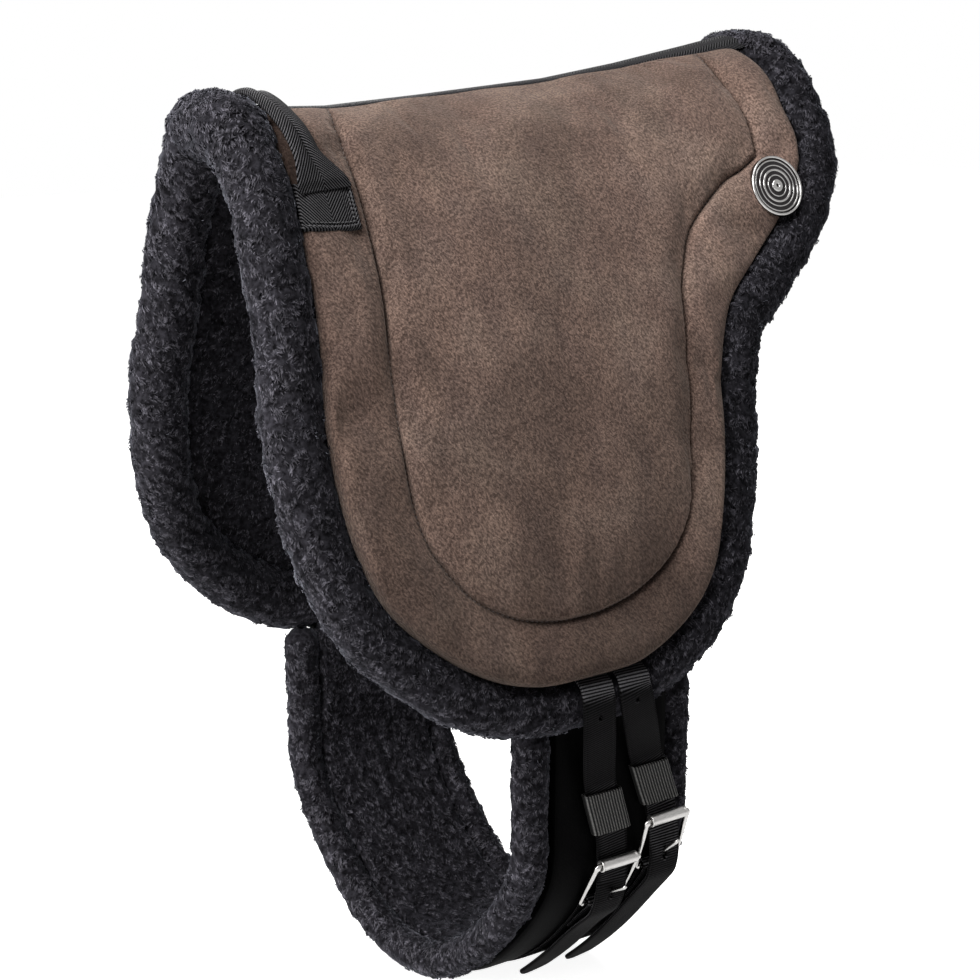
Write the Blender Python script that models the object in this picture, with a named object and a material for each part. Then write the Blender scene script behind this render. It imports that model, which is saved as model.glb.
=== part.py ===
# Bareback pad with a fleece girth buckled round it, modelled at real size in metres.
# +X runs to the horse's tail, +Z up, and the near (left) side of the horse is at -Y.
# The origin lies on the spine line, above the front edge of the pad.
import math

import bpy
import bmesh
from mathutils import Vector

NEAR = -1
OFF = 1

# Driving sizes of the pad
pad_length = 0.455          # spine, front fleece to the suede's rear edge
flap_drop = 0.427           # over the curve, spine to the suede's lowest edge
arch_spread = 0.062         # half width squared, over the drop below the ridge
barrel_swell_share = 0.08   # the arch is this much wider at the horse's barrel
barrel_place_share = 0.44
barrel_reach_share = 0.57

# Layers of the padding, measured out from the middle surface
suede_thickness = 0.0016
suede_height = 0.016        # outer face of the suede
foam_floor = -0.0052
lining_thickness = 0.012
seat_gap = 0.0003           # between pieces that touch
spine_gap = 0.00015         # from each half to the middle plane

# Quilting of the suede
quilt_depth = 0.0036
quilt_lip = 0.0045          # from the seam to the lip beside it
border_crown = 0.0025
panel_crown = 0.0045
lip_rise = 0.0008
edge_shoulder = 0.0025      # inset of the suede's rounded shoulder
shoulder_share = 0.62       # of the rise from the suede's edge to its face
foam_room = 0.0022          # between the foam's edge and the fleece roll
spine_fade = 0.022          # the crown dies out over this width beside the spine

# Fleece roll round the edge
roll_radius = 0.0215
roll_reach = 0.0150         # from the suede's edge out to the roll's centre
roll_reach_crest = 0.0195
roll_height = -0.0100       # of the roll's centre, along the flap
roll_height_crest = 0.0035
crest_fade = 0.300          # the roll rises to its crest height over this width
roll_sides = 10
roll_growth_shares = [(0.0, 1.0), (0.40, 1.0), (0.52, 1.16), (0.75, 1.22), (0.88, 1.08),
                      (1.0, 0.96)]  # of its radius, along the edge from the front

# Webbing along the spine
webbing_thickness = 0.0020
webbing_spare = 0.0020      # the webbing stops this far inside the suede's ends

# Grab strap over the withers
handle_width = 0.031
handle_thickness = 0.0065
handle_gap = 0.0052         # room for fingers under its crest
handle_side_gap = 0.0060    # room beside the crest
handle_place = 0.0335
handle_end_place = 0.0420
handle_end_gap = 0.0012      # above the tab
handle_path_shares = [(0.3, 0.72), (0.7, 0.40)]  # from its end to its crest, forward and down
tab_width = 0.044
tab_length = 0.031
tab_top = 0.069             # over the curve, spine to the tab's upper edge

# Round badge on each haunch
badge_radius = 0.0235
badge_rim_width = 0.0022
badge_rim_height = 0.0036
badge_face_height = 0.0030
badge_inset = 0.0385         # ahead of the spine's rear end
badge_drop = 0.128
badge_sides = 24
badge_bevel_share = 0.4      # of the rim's width and height
badge_wall_share = 0.8       # of the face's height, at its edge
badge_flat_share = 0.5       # of the face's radius

# Girth band: a U that hangs from the billets
girth_half_width = 0.1400    # between the middle of the U and its side
girth_drop = 0.2320          # from the band's front upper corner to the bottom of the U
girth_top = -0.4345
near_top_rise = 0.0200       # the rear upper corner stands this much higher
off_top_rise = 0.0020
girth_curve_shares = [(1.0, 0.0), (1.0, 0.27), (0.98, 0.50), (0.81, 0.69), (0.52, 0.880),
                      (0.23, 0.982), (0.0, 1.0)]
girth_place_share = 0.46044  # of pad_length, from the spine's front end
girth_skew = 0.0155          # the near side sits further back by this much, the off side forward
girth_roll_radius = 0.0135
girth_roll_sides = 8
girth_roll_end_share = 0.6   # the rolls draw in at their ends
girth_roll_place = 0.0635    # from the band's middle line to each edge roll
girth_core_floor = 0.0030
girth_core_top = 0.0132
girth_fleece_thickness = 0.0150
girth_station = 0.0230       # spacing of the girth's sections

# Webbing straps, billets and buckles
strap_width = 0.0275
strap_thickness = 0.0025
billet_thickness = 0.0028
billet_clearance = 0.0018     # between the billets and the fur roll they cross
tip_share = 0.15             # width of a strap's tip
front_strap_place = 0.0014   # at the bar, from the band's middle line
rear_strap_place = 0.0440
roller_shift = -0.0015       # the straps lean forward above the bar
front_keeper_shift = -0.0095
rear_keeper_shift = -0.0085
front_billet_shift = -0.0195  # on the pad's edge, from the girth's middle line
rear_billet_shift = 0.0120
billet_roll_shares = (0.50, 0.95, 1.40)  # where it crosses the roll, of the roll's reach
billet_hang_share = 0.55
front_roller_rise = 0.2060   # up the band from the bottom of the U
rear_roller_rise = 0.2275
front_keeper_rise = 0.0285   # from the roller to the keeper's middle
rear_keeper_rise = 0.0195
keeper_height = 0.0330
keeper_row_shares = (-0.5, -0.17, 0.17, 0.5)
keeper_wall = 0.0018
keeper_room = 0.0015          # beside the billet
keeper_play = 0.0009          # above and under it
keeper_lead = 0.0120          # the billet runs straight this far above the keeper
front_tail_length = 0.1150
rear_tail_length = 0.1350
tail_lift = 0.0070
tail_top_share = 0.2         # of frame_length: the tail bends in below the bar
tail_path_shares = [(0.5, 0.0), (0.8, 0.3), (1.0, 1.0)]  # of its length and its lift
hole_cell_width = 0.0086
hole_share = 0.80            # of a cell: the hole the tongue goes through
spare_hole_share = 0.50
chape_length = 0.0320        # of the strap's end that is folded back
chape_thin_share = 0.8
chape_row_shares = (1.0, 0.6, 0.3)

# Roller buckle
wire_radius = 0.0020
frame_half_width = 0.0190    # to the side wires' middle
frame_length = 0.0430        # bar to roller
frame_corner = 0.0026
roller_radius = 0.0041
roller_length = 0.0325
roller_sides = 12
roller_height = 0.0155       # of the roller's centre above the band
billet_room = 0.0016         # between the billet and the strap's fold round the bar
billet_bulge = wire_radius + seat_gap + strap_thickness + billet_room + billet_thickness / 2
billet_setback = 0.0024      # from the suede's edge to the billet's upper end
low_edge_share = 0.75        # of flap_drop: the billets leave the edge below this
billet_path_shares = [(0.744, -0.256), (0.500, 0.385), (0.198, 0.897)]  # of frame_length and bulge
tongue_length = 0.0370
tongue_width = 0.0045
tongue_thickness = 0.0015
tongue_round = 0.0036
tongue_angle_deg = 31
tongue_bend_start_deg = 40
tongue_bend_end_deg = 270
tongue_slot_width = 0.0060
tongue_row_shares = (0.3, 0.65, 0.92, 1.0)
tongue_tip_share = 0.5
tongue_corner_shares = [(-1, -0.5), (-0.6, -1), (0.6, -1), (1, -0.5),
                        (1, 0.5), (0.6, 1), (-0.6, 1), (-1, 0.5)]

# Outlines of the near flap as shares of pad_length and flap_drop, from the spine's front
# end: down the front edge, along the bottom, up the hollow, round the haunch to the spine.
crest_edge_shares = [(0.044, 0.016), (0.048, 0.06), (0.050, 0.10)]
front_edge_shares = [
    (0.050, 0.10), (0.052, 0.18), (0.046, 0.26), (0.046, 0.33), (0.040, 0.43),
    (0.031, 0.52), (0.033, 0.60), (0.040, 0.67), (0.053, 0.733), (0.075, 0.796),
    (0.108, 0.845), (0.170, 0.905), (0.248, 0.962), (0.322, 0.992), (0.387, 1.000)]
rear_edge_shares = [
    (0.387, 1.000), (0.486, 1.004), (0.534, 0.994), (0.576, 0.976), (0.620, 0.950),
    (0.652, 0.921), (0.679, 0.878), (0.701, 0.812), (0.717, 0.745), (0.730, 0.667),
    (0.738, 0.588)]
hollow_edge_shares = [
    (0.738, 0.588), (0.756, 0.525), (0.785, 0.464), (0.846, 0.410), (0.914, 0.356),
    (0.958, 0.314), (0.987, 0.265)]
haunch_edge_shares = [
    (0.987, 0.265), (0.993, 0.222), (0.987, 0.176), (0.981, 0.105), (0.960, 0.043)]
crest_seam_shares = [(0.174, 0.016), (0.164, 0.06), (0.158, 0.103)]
front_seam_shares = [
    (0.158, 0.103), (0.156, 0.211), (0.154, 0.328), (0.147, 0.422),
    (0.142, 0.539), (0.145, 0.651), (0.160, 0.724), (0.187, 0.775), (0.231, 0.831),
    (0.295, 0.874), (0.363, 0.895), (0.410, 0.899)]
rear_seam_shares = [
    (0.410, 0.899), (0.448, 0.899), (0.516, 0.885), (0.582, 0.850), (0.629, 0.796),
    (0.648, 0.726), (0.662, 0.632), (0.671, 0.570)]
hollow_seam_shares = [
    (0.671, 0.570), (0.675, 0.522), (0.684, 0.440), (0.699, 0.391), (0.725, 0.337),
    (0.767, 0.300), (0.822, 0.267), (0.862, 0.255), (0.899, 0.239)]
haunch_seam_shares = [(0.899, 0.239), (0.903, 0.192), (0.899, 0.150), (0.888, 0.096), (0.877, 0.030)]
span_columns = [2, 9, 8, 7, 4]
fan_start_share = 0.242      # the panel's rows end on the spine between these two
fan_end_share = 0.813
panel_row_shares = [0.27, 0.50, 0.68, 0.82, 0.92, 1.0]

# The ridge's height along the pad, and half the spine webbing's width, as shares of pad_length
ridge_shares = [
    (-0.04, 0.0040), (0.0, -0.0044), (0.12, -0.0132), (0.19, -0.0143), (0.36, -0.0022),
    (0.60, 0.0176), (0.75, 0.0396), (0.90, 0.0660), (0.97, 0.0790), (1.04, 0.0920)]
webbing_shares = [(0.0, 0.0154), (0.62, 0.0154), (0.75, 0.020), (0.88, 0.031), (0.97, 0.042)]

# Colour, roughness and metallic value of each material
finishes = {
    "suede": ((0.130, 0.087, 0.071), 0.95, 0.0),
    "foam": ((0.42, 0.40, 0.36), 0.90, 0.0),
    "fleece": ((0.020, 0.020, 0.023), 1.0, 0.0),
    "webbing": ((0.022, 0.021, 0.023), 0.70, 0.0),
    "elastic": ((0.045, 0.045, 0.048), 0.75, 0.0),
    "steel": ((0.72, 0.70, 0.68), 0.22, 1.0),
    "enamel": ((0.028, 0.026, 0.027), 0.35, 0.0),
}

probe = 0.0001               # step for measuring slopes
full_turn = 2 * math.pi


def clear_scene():
    for old in list(bpy.data.objects):
        bpy.data.objects.remove(old, do_unlink=True)


def make_material(slot):
    colour, roughness, metallic = finishes[slot]
    material = bpy.data.materials.new(slot)
    material.use_nodes = True
    shader = material.node_tree.nodes["Principled BSDF"]
    shader.inputs["Base Color"].default_value = (*colour, 1.0)
    shader.inputs["Roughness"].default_value = roughness
    shader.inputs["Metallic"].default_value = metallic
    return material


def add_object(name, slot, points, faces, smooth_deg=None, centre=None):
    # The mesh is kept round its centre, so that the object's origin is its joint's axis. Its
    # quads are all split at their first corner, so that layers lie on each other without a cut.
    centre = centre or Vector((0, 0, 0))
    mesh = bpy.data.meshes.new(name)
    mesh.from_pydata([Vector(point) - centre for point in points], [], faces)
    mesh.validate()
    shaped = bmesh.new()
    shaped.from_mesh(mesh)
    bmesh.ops.triangulate(shaped, faces=shaped.faces, quad_method="FIXED")
    bmesh.ops.recalc_face_normals(shaped, faces=shaped.faces)
    shaped.to_mesh(mesh)
    shaped.free()
    if smooth_deg is not None:
        mesh.shade_smooth()
        mesh.set_sharp_from_angle(angle=math.radians(smooth_deg))
    mesh.materials.append(make_material(slot))
    part = bpy.data.objects.new(name, mesh)
    part.location = centre
    bpy.context.collection.objects.link(part)
    return part


def plate(name, slot, top, floor, faces, smooth_deg=50, centre=None):
    # A closed sheet: faces over the top points, the same over the floor, and walls all round.
    count = len(top)
    edges = {pair for face in faces for pair in zip(face, face[1:] + face[:1])}
    solid = list(faces)
    solid += [[count + corner for corner in face[:1] + face[:0:-1]] for face in faces]
    solid += [[end, start, count + start, count + end]
              for start, end in sorted(edges) if (end, start) not in edges]
    return add_object(name, slot, list(top) + list(floor), solid, smooth_deg, centre)


def direction(path, index, closed=False):
    last = len(path) - 1
    if closed:
        return (path[(index + 1) % len(path)] - path[index - 1]).normalized()
    return (path[min(index + 1, last)] - path[max(index - 1, 0)]).normalized()


def grid_faces(rows, columns, left_out=()):
    # Faces of a grid of points laid row by row; left_out holds (row, column) cells.
    faces = []
    for row in range(rows - 1):
        for column in range(columns - 1):
            if (row, column) not in left_out:
                corner = row * columns + column
                faces.append([corner, corner + 1, corner + columns + 1, corner + columns])
    return faces


def ring_faces(rings, closed):
    # Faces between rings of point numbers, with end caps on an open row of rings.
    faces = []
    pairs = list(zip(rings, rings[1:]))
    if closed:
        pairs.append((rings[-1], rings[0]))
    else:
        faces += [list(reversed(rings[0])), list(rings[-1])]
    for ring, next_ring in pairs:
        for start, end, next_start, next_end in zip(
                ring, ring[1:] + ring[:1], next_ring, next_ring[1:] + next_ring[:1]):
            faces.append([start, end, next_end, next_start])
    return faces


def smoothstep(share):
    share = min(max(share, 0.0), 1.0)
    return share * share * (3 - 2 * share)


def mix(low, high, share):
    return low + (high - low) * share


def read_table(table, place):
    # Straight-line reading of a table of (place, value) pairs.
    if place <= table[0][0]:
        return table[0][1]
    for (start, low), (end, high) in zip(table, table[1:]):
        if place <= end:
            return mix(low, high, (place - start) / (end - start))
    return table[-1][1]


def spline(points, steps=12):
    # A smooth curve through every point, as a dense list.
    dense = []
    last = len(points) - 1
    for index in range(last):
        before = points[max(index - 1, 0)]
        start = points[index]
        end = points[index + 1]
        after = points[min(index + 2, last)]
        for step in range(steps):
            t = step / steps
            dense.append(0.5 * (
                2 * start + (end - before) * t
                + (2 * before - 5 * start + 4 * end - after) * t ** 2
                + (3 * start - before - 3 * end + after) * t ** 3))
    dense.append(points[-1].copy())
    return dense


def even_points(dense, count):
    # count steps of equal length along a dense list.
    run = [0.0]
    for start, end in zip(dense, dense[1:]):
        run.append(run[-1] + (end - start).length)
    result = []
    index = 0
    for step in range(count + 1):
        target = run[-1] * step / count
        while index < len(run) - 2 and run[index + 1] < target:
            index += 1
        share = (target - run[index]) / (run[index + 1] - run[index])
        result.append(dense[index].lerp(dense[index + 1], share))
    return result


# The pad's middle surface: an arch over the horse's back, a little wider at the barrel.
def ridge_height(x):
    return pad_length * read_table(ridge_shares, x / pad_length)


def webbing_half_width(x):
    return pad_length * read_table(webbing_shares, x / pad_length)


def arch_sharpness(x):
    away = (x / pad_length - barrel_place_share) / barrel_reach_share
    swell = 1 + barrel_swell_share * (1 - away * away)
    return 1 / (arch_spread * swell * swell)


def arc_length(half_width, sharpness):
    slope = 2 * sharpness * half_width
    return half_width / 2 * math.sqrt(1 + slope * slope) + math.asinh(slope) / (4 * sharpness)


def half_width_at(x, run):
    # Half width of the arch at a given length over the curve from the spine.
    sharpness = arch_sharpness(x)
    guess = min(run, math.sqrt(run / sharpness))
    for _ in range(30):
        slope = 2 * sharpness * guess
        guess -= (arc_length(guess, sharpness) - run) / math.sqrt(1 + slope * slope)
    return guess


def middle_point(x, run, side):
    half_width = half_width_at(x, abs(run))
    if run < 0:
        half_width = -half_width
    drop = arch_sharpness(x) * half_width * half_width
    crest = ridge_height(x) - suede_height - webbing_thickness
    return Vector((x, side * half_width, crest - drop))


def flap_point(x, run, height, side):
    along = middle_point(x + probe, run, side) - middle_point(x - probe, run, side)
    down = middle_point(x, run + probe, side) - middle_point(x, run - probe, side)
    normal = along.cross(down).normalized()
    if side == NEAR:
        normal.negate()
    if normal.z < 0:
        normal.negate()
    return middle_point(x, run, side) + normal * height


# The flap's grid: columns run from the edge, over the quilting seam, up to the spine.
def beside_webbing(point):
    point.y = webbing_half_width(point.x) + seat_gap


def flat_curve(spans):
    points = []
    for shares, columns in zip(spans, span_columns):
        keys = [Vector((x * pad_length, run * flap_drop, 0)) for x, run in shares]
        stretch = even_points(spline(keys), columns)
        points += stretch if not points else stretch[1:]
    return points


def step_towards(start, end, length):
    return start + (end - start).normalized() * length


def crest_share(run):
    return 1 - smoothstep(abs(run) / crest_fade)


def roll_centre_height(run):
    return mix(roll_height, roll_height_crest, crest_share(run))


def roll_size(along_share):
    return roll_radius * read_table(roll_growth_shares, along_share)


def roll_centre_reach(run, along_share):
    # How far outside the suede's edge the roll's centre lies.
    reach = mix(roll_reach, roll_reach_crest, crest_share(run))
    return reach * read_table(roll_growth_shares, along_share)


def roll_top(run, along_share, beyond):
    # Height of the roll's surface, so far beyond the suede's edge.
    aside = beyond - roll_centre_reach(run, along_share)
    return roll_centre_height(run) + math.sqrt(roll_size(along_share) ** 2 - aside ** 2)


def foam_inset(edge, column, seam_point):
    # The foam keeps clear of the roll, also where the grid meets the edge at a slant.
    along_share = column / (len(edge) - 1)
    inset = roll_size(along_share) - roll_centre_reach(edge[column].y, along_share) + foam_room
    forward = direction(edge, column)
    inward = (seam_point - edge[column]).normalized()
    return inset / abs(forward.x * inward.y - forward.y * inward.x)


def make_rows():
    # Rows of the grid by name, from the suede's edge to the spine.
    edge = flat_curve([crest_edge_shares, front_edge_shares, rear_edge_shares,
                       hollow_edge_shares, haunch_edge_shares])
    seam = flat_curve([crest_seam_shares, front_seam_shares, rear_seam_shares,
                       hollow_seam_shares, haunch_seam_shares])
    top = []
    for index in range(len(edge)):
        share = index / (len(edge) - 1)
        top.append(Vector((pad_length * mix(fan_start_share, fan_end_share, share), 0, 0)))
        beside_webbing(top[-1])
    grid = {
        "edge": edge,
        "shoulder": [step_towards(a, b, edge_shoulder) for a, b in zip(edge, seam)],
        "foam_edge": [step_towards(a, b, foam_inset(edge, column, b))
                      for column, (a, b) in enumerate(zip(edge, seam))],
        "border": [(a + b) / 2 for a, b in zip(edge, seam)],
        "outer_lip": [step_towards(b, a, quilt_lip) for a, b in zip(edge, seam)],
        "seam": seam,
        "inner_lip": [step_towards(b, c, quilt_lip) for b, c in zip(seam, top)],
    }
    for index, share in enumerate(panel_row_shares):
        grid["panel_" + str(index)] = [b.lerp(c, share) for b, c in zip(seam, top)]
    for points in grid.values():
        beside_webbing(points[0])
        beside_webbing(points[-1])
    return grid


rows = make_rows()
last_column = len(rows["edge"]) - 1
panel_names = ["panel_" + str(index) for index in range(len(panel_row_shares))]
cover_rows = ["edge", "shoulder", "foam_edge", "border", "outer_lip", "seam", "inner_lip"]
cover_rows += panel_names
foam_rows = cover_rows[2:]
plain_rows = ["foam_edge", "seam"] + panel_names[::2] + panel_names[-1:]
crowns = {"border": border_crown, "outer_lip": lip_rise, "inner_lip": lip_rise,
          "seam": -quilt_depth, "foam_edge": lip_rise}


def suede_top(row_name, column):
    point = rows[row_name][column]
    # The suede's edge comes down onto the fleece roll.
    edge_height = roll_top(point.y, column / last_column, 0) + seat_gap + suede_thickness
    if row_name == "edge":
        return edge_height
    if row_name == "shoulder":
        return mix(edge_height, suede_height, shoulder_share)
    beside = point.y - webbing_half_width(point.x) - seat_gap
    return suede_height + crowns.get(row_name, panel_crown) * smoothstep(beside / spine_fade)


def suede_floor(row_name, column):
    return suede_top(row_name, column) - suede_thickness


def make_cover(side, word):
    top = []
    floor = []
    for row_name in cover_rows:
        for column, flat in enumerate(rows[row_name]):
            top.append(flap_point(flat.x, flat.y, suede_top(row_name, column), side))
            floor.append(flap_point(flat.x, flat.y, suede_floor(row_name, column), side))
    faces = grid_faces(len(cover_rows), last_column + 1)
    plate(word + "_suede_cover", "suede", top, floor, faces)


def make_filling(name, slot, side, top_rows, top_height, floor_rows, floor_height):
    # A thick layer that runs on under the spine webbing to the middle plane. Its floor may
    # leave out some of the top's rows.
    points = []
    faces = []
    paths = []
    strips = []
    grids = []
    for row_names, height in ((top_rows, top_height), (floor_rows, floor_height)):
        start = len(points)
        columns = last_column + 1
        for row_name in row_names:
            for column, flat in enumerate(rows[row_name]):
                points.append(flap_point(flat.x, flat.y, height(row_name, column), side))
        faces += [[start + corner for corner in face]
                  for face in grid_faces(len(row_names), columns)]
        # The path runs up the front column, along the spine and down the rear column.
        path = [(row_name, 0) for row_name in row_names]
        path += [(row_names[-1], column) for column in range(1, last_column)]
        path += [(row_name, last_column) for row_name in reversed(row_names)]
        grid = {(row_name, column): start + row * columns + column
                for row, row_name in enumerate(row_names) for column in range(columns)}
        strip = {}
        for row_name, column in path:
            flat = rows[row_name][column]
            strip[row_name, column] = len(points)
            points.append(flap_point(flat.x, spine_gap, height(row_name, column), side))
        for key, next_key in zip(path, path[1:]):
            faces.append([grid[key], grid[next_key], strip[next_key], strip[key]])
        grids.append(grid)
        strips.append(strip)
        paths.append(path)
    for column in range(last_column):
        rim = [(top_rows[0], column), (top_rows[0], column + 1)]
        faces.append([grids[0][rim[0]], grids[0][rim[1]], grids[1][rim[1]], grids[1][rim[0]]])
    for key, next_key in zip(paths[1], paths[1][1:]):
        first = paths[0].index(key)
        final = paths[0].index(next_key)
        upper = [strips[0][upper_key] for upper_key in paths[0][first:final + 1]]
        faces.append(upper + [strips[1][next_key], strips[1][key]])
    for key in (paths[0][0], paths[0][-1]):
        faces.append([grids[0][key], strips[0][key], strips[1][key], grids[1][key]])
    return add_object(name, slot, points, faces, smooth_deg=50)


def make_flap(side, word):
    make_cover(side, word)
    make_filling(word + "_foam_core", "foam", side,
                 foam_rows, lambda name, column: suede_floor(name, column) - seat_gap,
                 plain_rows, lambda name, column: foam_floor)
    make_filling(word + "_fleece_lining", "fleece", side,
                 plain_rows, lambda name, column: foam_floor - seat_gap,
                 plain_rows, lambda name, column: foam_floor - seat_gap - lining_thickness)


def swept_rings(path, section, across_at, closed=False):
    # Points and rings of a section carried along a path. section(index) gives (across, out)
    # pairs, and across_at(index) is the direction that "across" keeps to.
    points = []
    rings = []
    for index, place in enumerate(path):
        forward = direction(path, index, closed)
        across = across_at(index)
        across = (across - forward * across.dot(forward)).normalized()
        out = forward.cross(across)
        pairs = section(index)
        rings.append(list(range(len(points), len(points) + len(pairs))))
        points += [place + across * wide + out * high for wide, high in pairs]
    return points, rings


def sweep(name, slot, path, section, across_at, smooth_deg=50, closed=False, centre=None):
    points, rings = swept_rings(path, section, across_at, closed)
    return add_object(name, slot, points, ring_faces(rings, closed), smooth_deg, centre)


def round_section(radius, sides):
    return [(radius * math.cos(full_turn * step / sides), radius * math.sin(full_turn * step / sides))
            for step in range(sides)]


along_pad = Vector((1, 0, 0))


def make_edge_roll(side, word):
    # The roll keeps its distance outside the suede's edge, all round the flap. Its two ends
    # are flat in the middle plane, where the halves meet.
    edge = rows["edge"]
    flat = []
    sizes = []
    for index in range(1, last_column):
        forward = direction(edge, index)
        share = index / last_column
        reach = roll_centre_reach(edge[index].y, share)
        flat.append(edge[index] + Vector((-forward.y, forward.x, 0)) * reach)
        sizes.append(roll_size(share))
    for end, place in ((0, 0), (last_column, last_column)):
        share = end / last_column
        reach = roll_centre_reach(0, share) * (-1 if end == 0 else 1)
        flat.insert(place, Vector((edge[end].x + reach, spine_gap, 0)))
        sizes.insert(place, roll_size(share))
    path = [flap_point(point.x, point.y, roll_centre_height(point.y), side) for point in flat]
    normals = [flap_point(point.x, point.y, probe, side) - flap_point(point.x, point.y, 0, side)
               for point in flat]
    points, rings = swept_rings(path, lambda index: round_section(sizes[index], roll_sides),
                                lambda index: normals[index].normalized())
    for corner in rings[0] + rings[-1]:
        points[corner].y = side * spine_gap
    add_object(word + "_edge_roll", "fleece", points, ring_faces(rings, False), smooth_deg=50)


def make_spine_webbing():
    start = rows["edge"][0].x + webbing_spare
    end = rows["edge"][-1].x - webbing_spare
    steps = 24
    floor_height = suede_height - suede_thickness + seat_gap
    top = []
    floor = []
    for step in range(steps + 1):
        x = mix(start, end, step / steps)
        for share in (-1, 0, 1):
            run = webbing_half_width(x) * share
            top.append(flap_point(x, run, floor_height + webbing_thickness, OFF))
            floor.append(flap_point(x, run, floor_height, OFF))
    plate("spine_webbing", "webbing", top, floor, grid_faces(steps + 1, 3))


def make_tab(side, word):
    # The sewn end of the grab strap: a short piece of webbing laid on the suede.
    steps = 3
    floor_height = suede_height + border_crown + seat_gap
    top = []
    floor = []
    for row in range(steps + 1):
        run = tab_top + tab_length * row / steps
        for column in range(steps + 1):
            x = handle_end_place + tab_width * (column / steps - 1 / 2)
            top.append(flap_point(x, run, floor_height + webbing_thickness, side))
            floor.append(flap_point(x, run, floor_height, side))
    plate(word + "_strap_tab", "webbing", top, floor, grid_faces(steps + 1, steps + 1))


def make_grab_strap():
    tab_face = suede_height + border_crown + seat_gap + webbing_thickness
    end_height = tab_face + handle_end_gap + handle_thickness / 2
    end_run = tab_top + handle_thickness
    crest_height = suede_height + webbing_thickness + handle_gap + handle_thickness / 2
    side_height = suede_height + border_crown + handle_side_gap + handle_thickness / 2
    halves = []
    for side in (NEAR, OFF):
        halves.append([
            flap_point(handle_end_place, end_run, end_height, side),
            *(flap_point(mix(handle_end_place, handle_place, ahead), end_run * low, side_height, side)
              for ahead, low in handle_path_shares)])
    crest = flap_point(handle_place, 0, crest_height, OFF)
    path = even_points(spline(halves[0] + [crest] + halves[1][::-1]), 24)
    wide = handle_width / 2
    high = handle_thickness / 2
    flat = wide - high
    section = [(-wide, 0), (-flat, -high), (flat, -high), (wide, 0), (flat, high), (-flat, high)]
    sweep("grab_strap", "webbing", path, lambda index: section, lambda index: along_pad,
          centre=(path[0] + path[-1]) / 2)


def make_badge(side, word):
    # A metal rim round a low domed face, lying flat on the suede.
    floor = suede_height + border_crown + seat_gap
    centre = flap_point(pad_length - badge_inset, badge_drop, floor, side)
    above = flap_point(pad_length - badge_inset, badge_drop, floor + probe, side)
    normal = (above - centre).normalized()
    across = (along_pad - normal * along_pad.dot(normal)).normalized()
    up = normal.cross(across)

    def turned(name, slot, profile, closed):
        points = []
        rings = []
        for radius, height in profile:
            rings.append(list(range(len(points), len(points) + badge_sides)))
            for wide, high in round_section(radius, badge_sides):
                points.append(centre + across * wide + up * high + normal * height)
        add_object(name, slot, points, ring_faces(rings, closed), smooth_deg=40)

    inner = badge_radius - badge_rim_width
    bevel = badge_bevel_share
    turned(word + "_badge_rim", "steel", [
        (inner, 0), (badge_radius, 0), (badge_radius, badge_rim_height * (1 - bevel)),
        (badge_radius - badge_rim_width * bevel, badge_rim_height),
        (inner, badge_rim_height)], True)
    face_radius = inner - seat_gap
    turned(word + "_badge_face", "enamel", [
        (face_radius, 0), (face_radius, badge_face_height * badge_wall_share),
        (face_radius * badge_flat_share, badge_face_height)], False)


# The girth: places on it are given up the band from the bottom of the U, near side minus.
def girth_curve():
    half = [Vector((0, NEAR * girth_half_width * wide, girth_top - girth_drop * low))
            for wide, low in girth_curve_shares]
    other = [Vector((0, -point.y, point.z)) for point in half[-2::-1]]
    return even_points(spline(half + other), 80)


girth_points = girth_curve()
girth_runs = [0.0]
for start_point, end_point in zip(girth_points, girth_points[1:]):
    girth_runs.append(girth_runs[-1] + (end_point - start_point).length)
girth_half_run = girth_runs[-1] / 2


def girth_line(rise):
    # Point and outward normal of the band's middle line.
    place = rise + girth_half_run
    if place <= 0 or place >= girth_runs[-1]:
        side = NEAR if place <= 0 else OFF
        point = Vector((0, side * girth_half_width, girth_top + abs(rise) - girth_half_run))
        normal = Vector((0, side, 0))
    else:
        index = min(int(place / girth_runs[-1] * (len(girth_points) - 1)), len(girth_points) - 2)
        share = (place - girth_runs[index]) / (girth_runs[index + 1] - girth_runs[index])
        point = girth_points[index].lerp(girth_points[index + 1], share)
        along = direction(girth_points, index).lerp(direction(girth_points, index + 1), share)
        normal = Vector((0, along.z, -along.y)).normalized()
    point.x = pad_length * girth_place_share - girth_skew * point.y / girth_half_width
    return point, normal


def on_girth(rise, across, height):
    point, normal = girth_line(rise)
    return point + along_pad * across + normal * height


def girth_end(across, side):
    # How far up the band reaches at a place across it: its upper edge slopes.
    share = (across + girth_roll_place) / (2 * girth_roll_place)
    rise = near_top_rise if side == NEAR else off_top_rise
    return side * (girth_half_run + rise * share ** 3)


def girth_rises(start, end):
    # Places up the band at which every girth piece has its sections, between two ends.
    count = int(girth_half_run / girth_station) + 1
    inner = [girth_station * step for step in range(-count, count + 1)]
    low = start + girth_station / 2
    high = end - girth_station / 2
    return [start] + [rise for rise in inner if low < rise < high] + [end]


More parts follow.
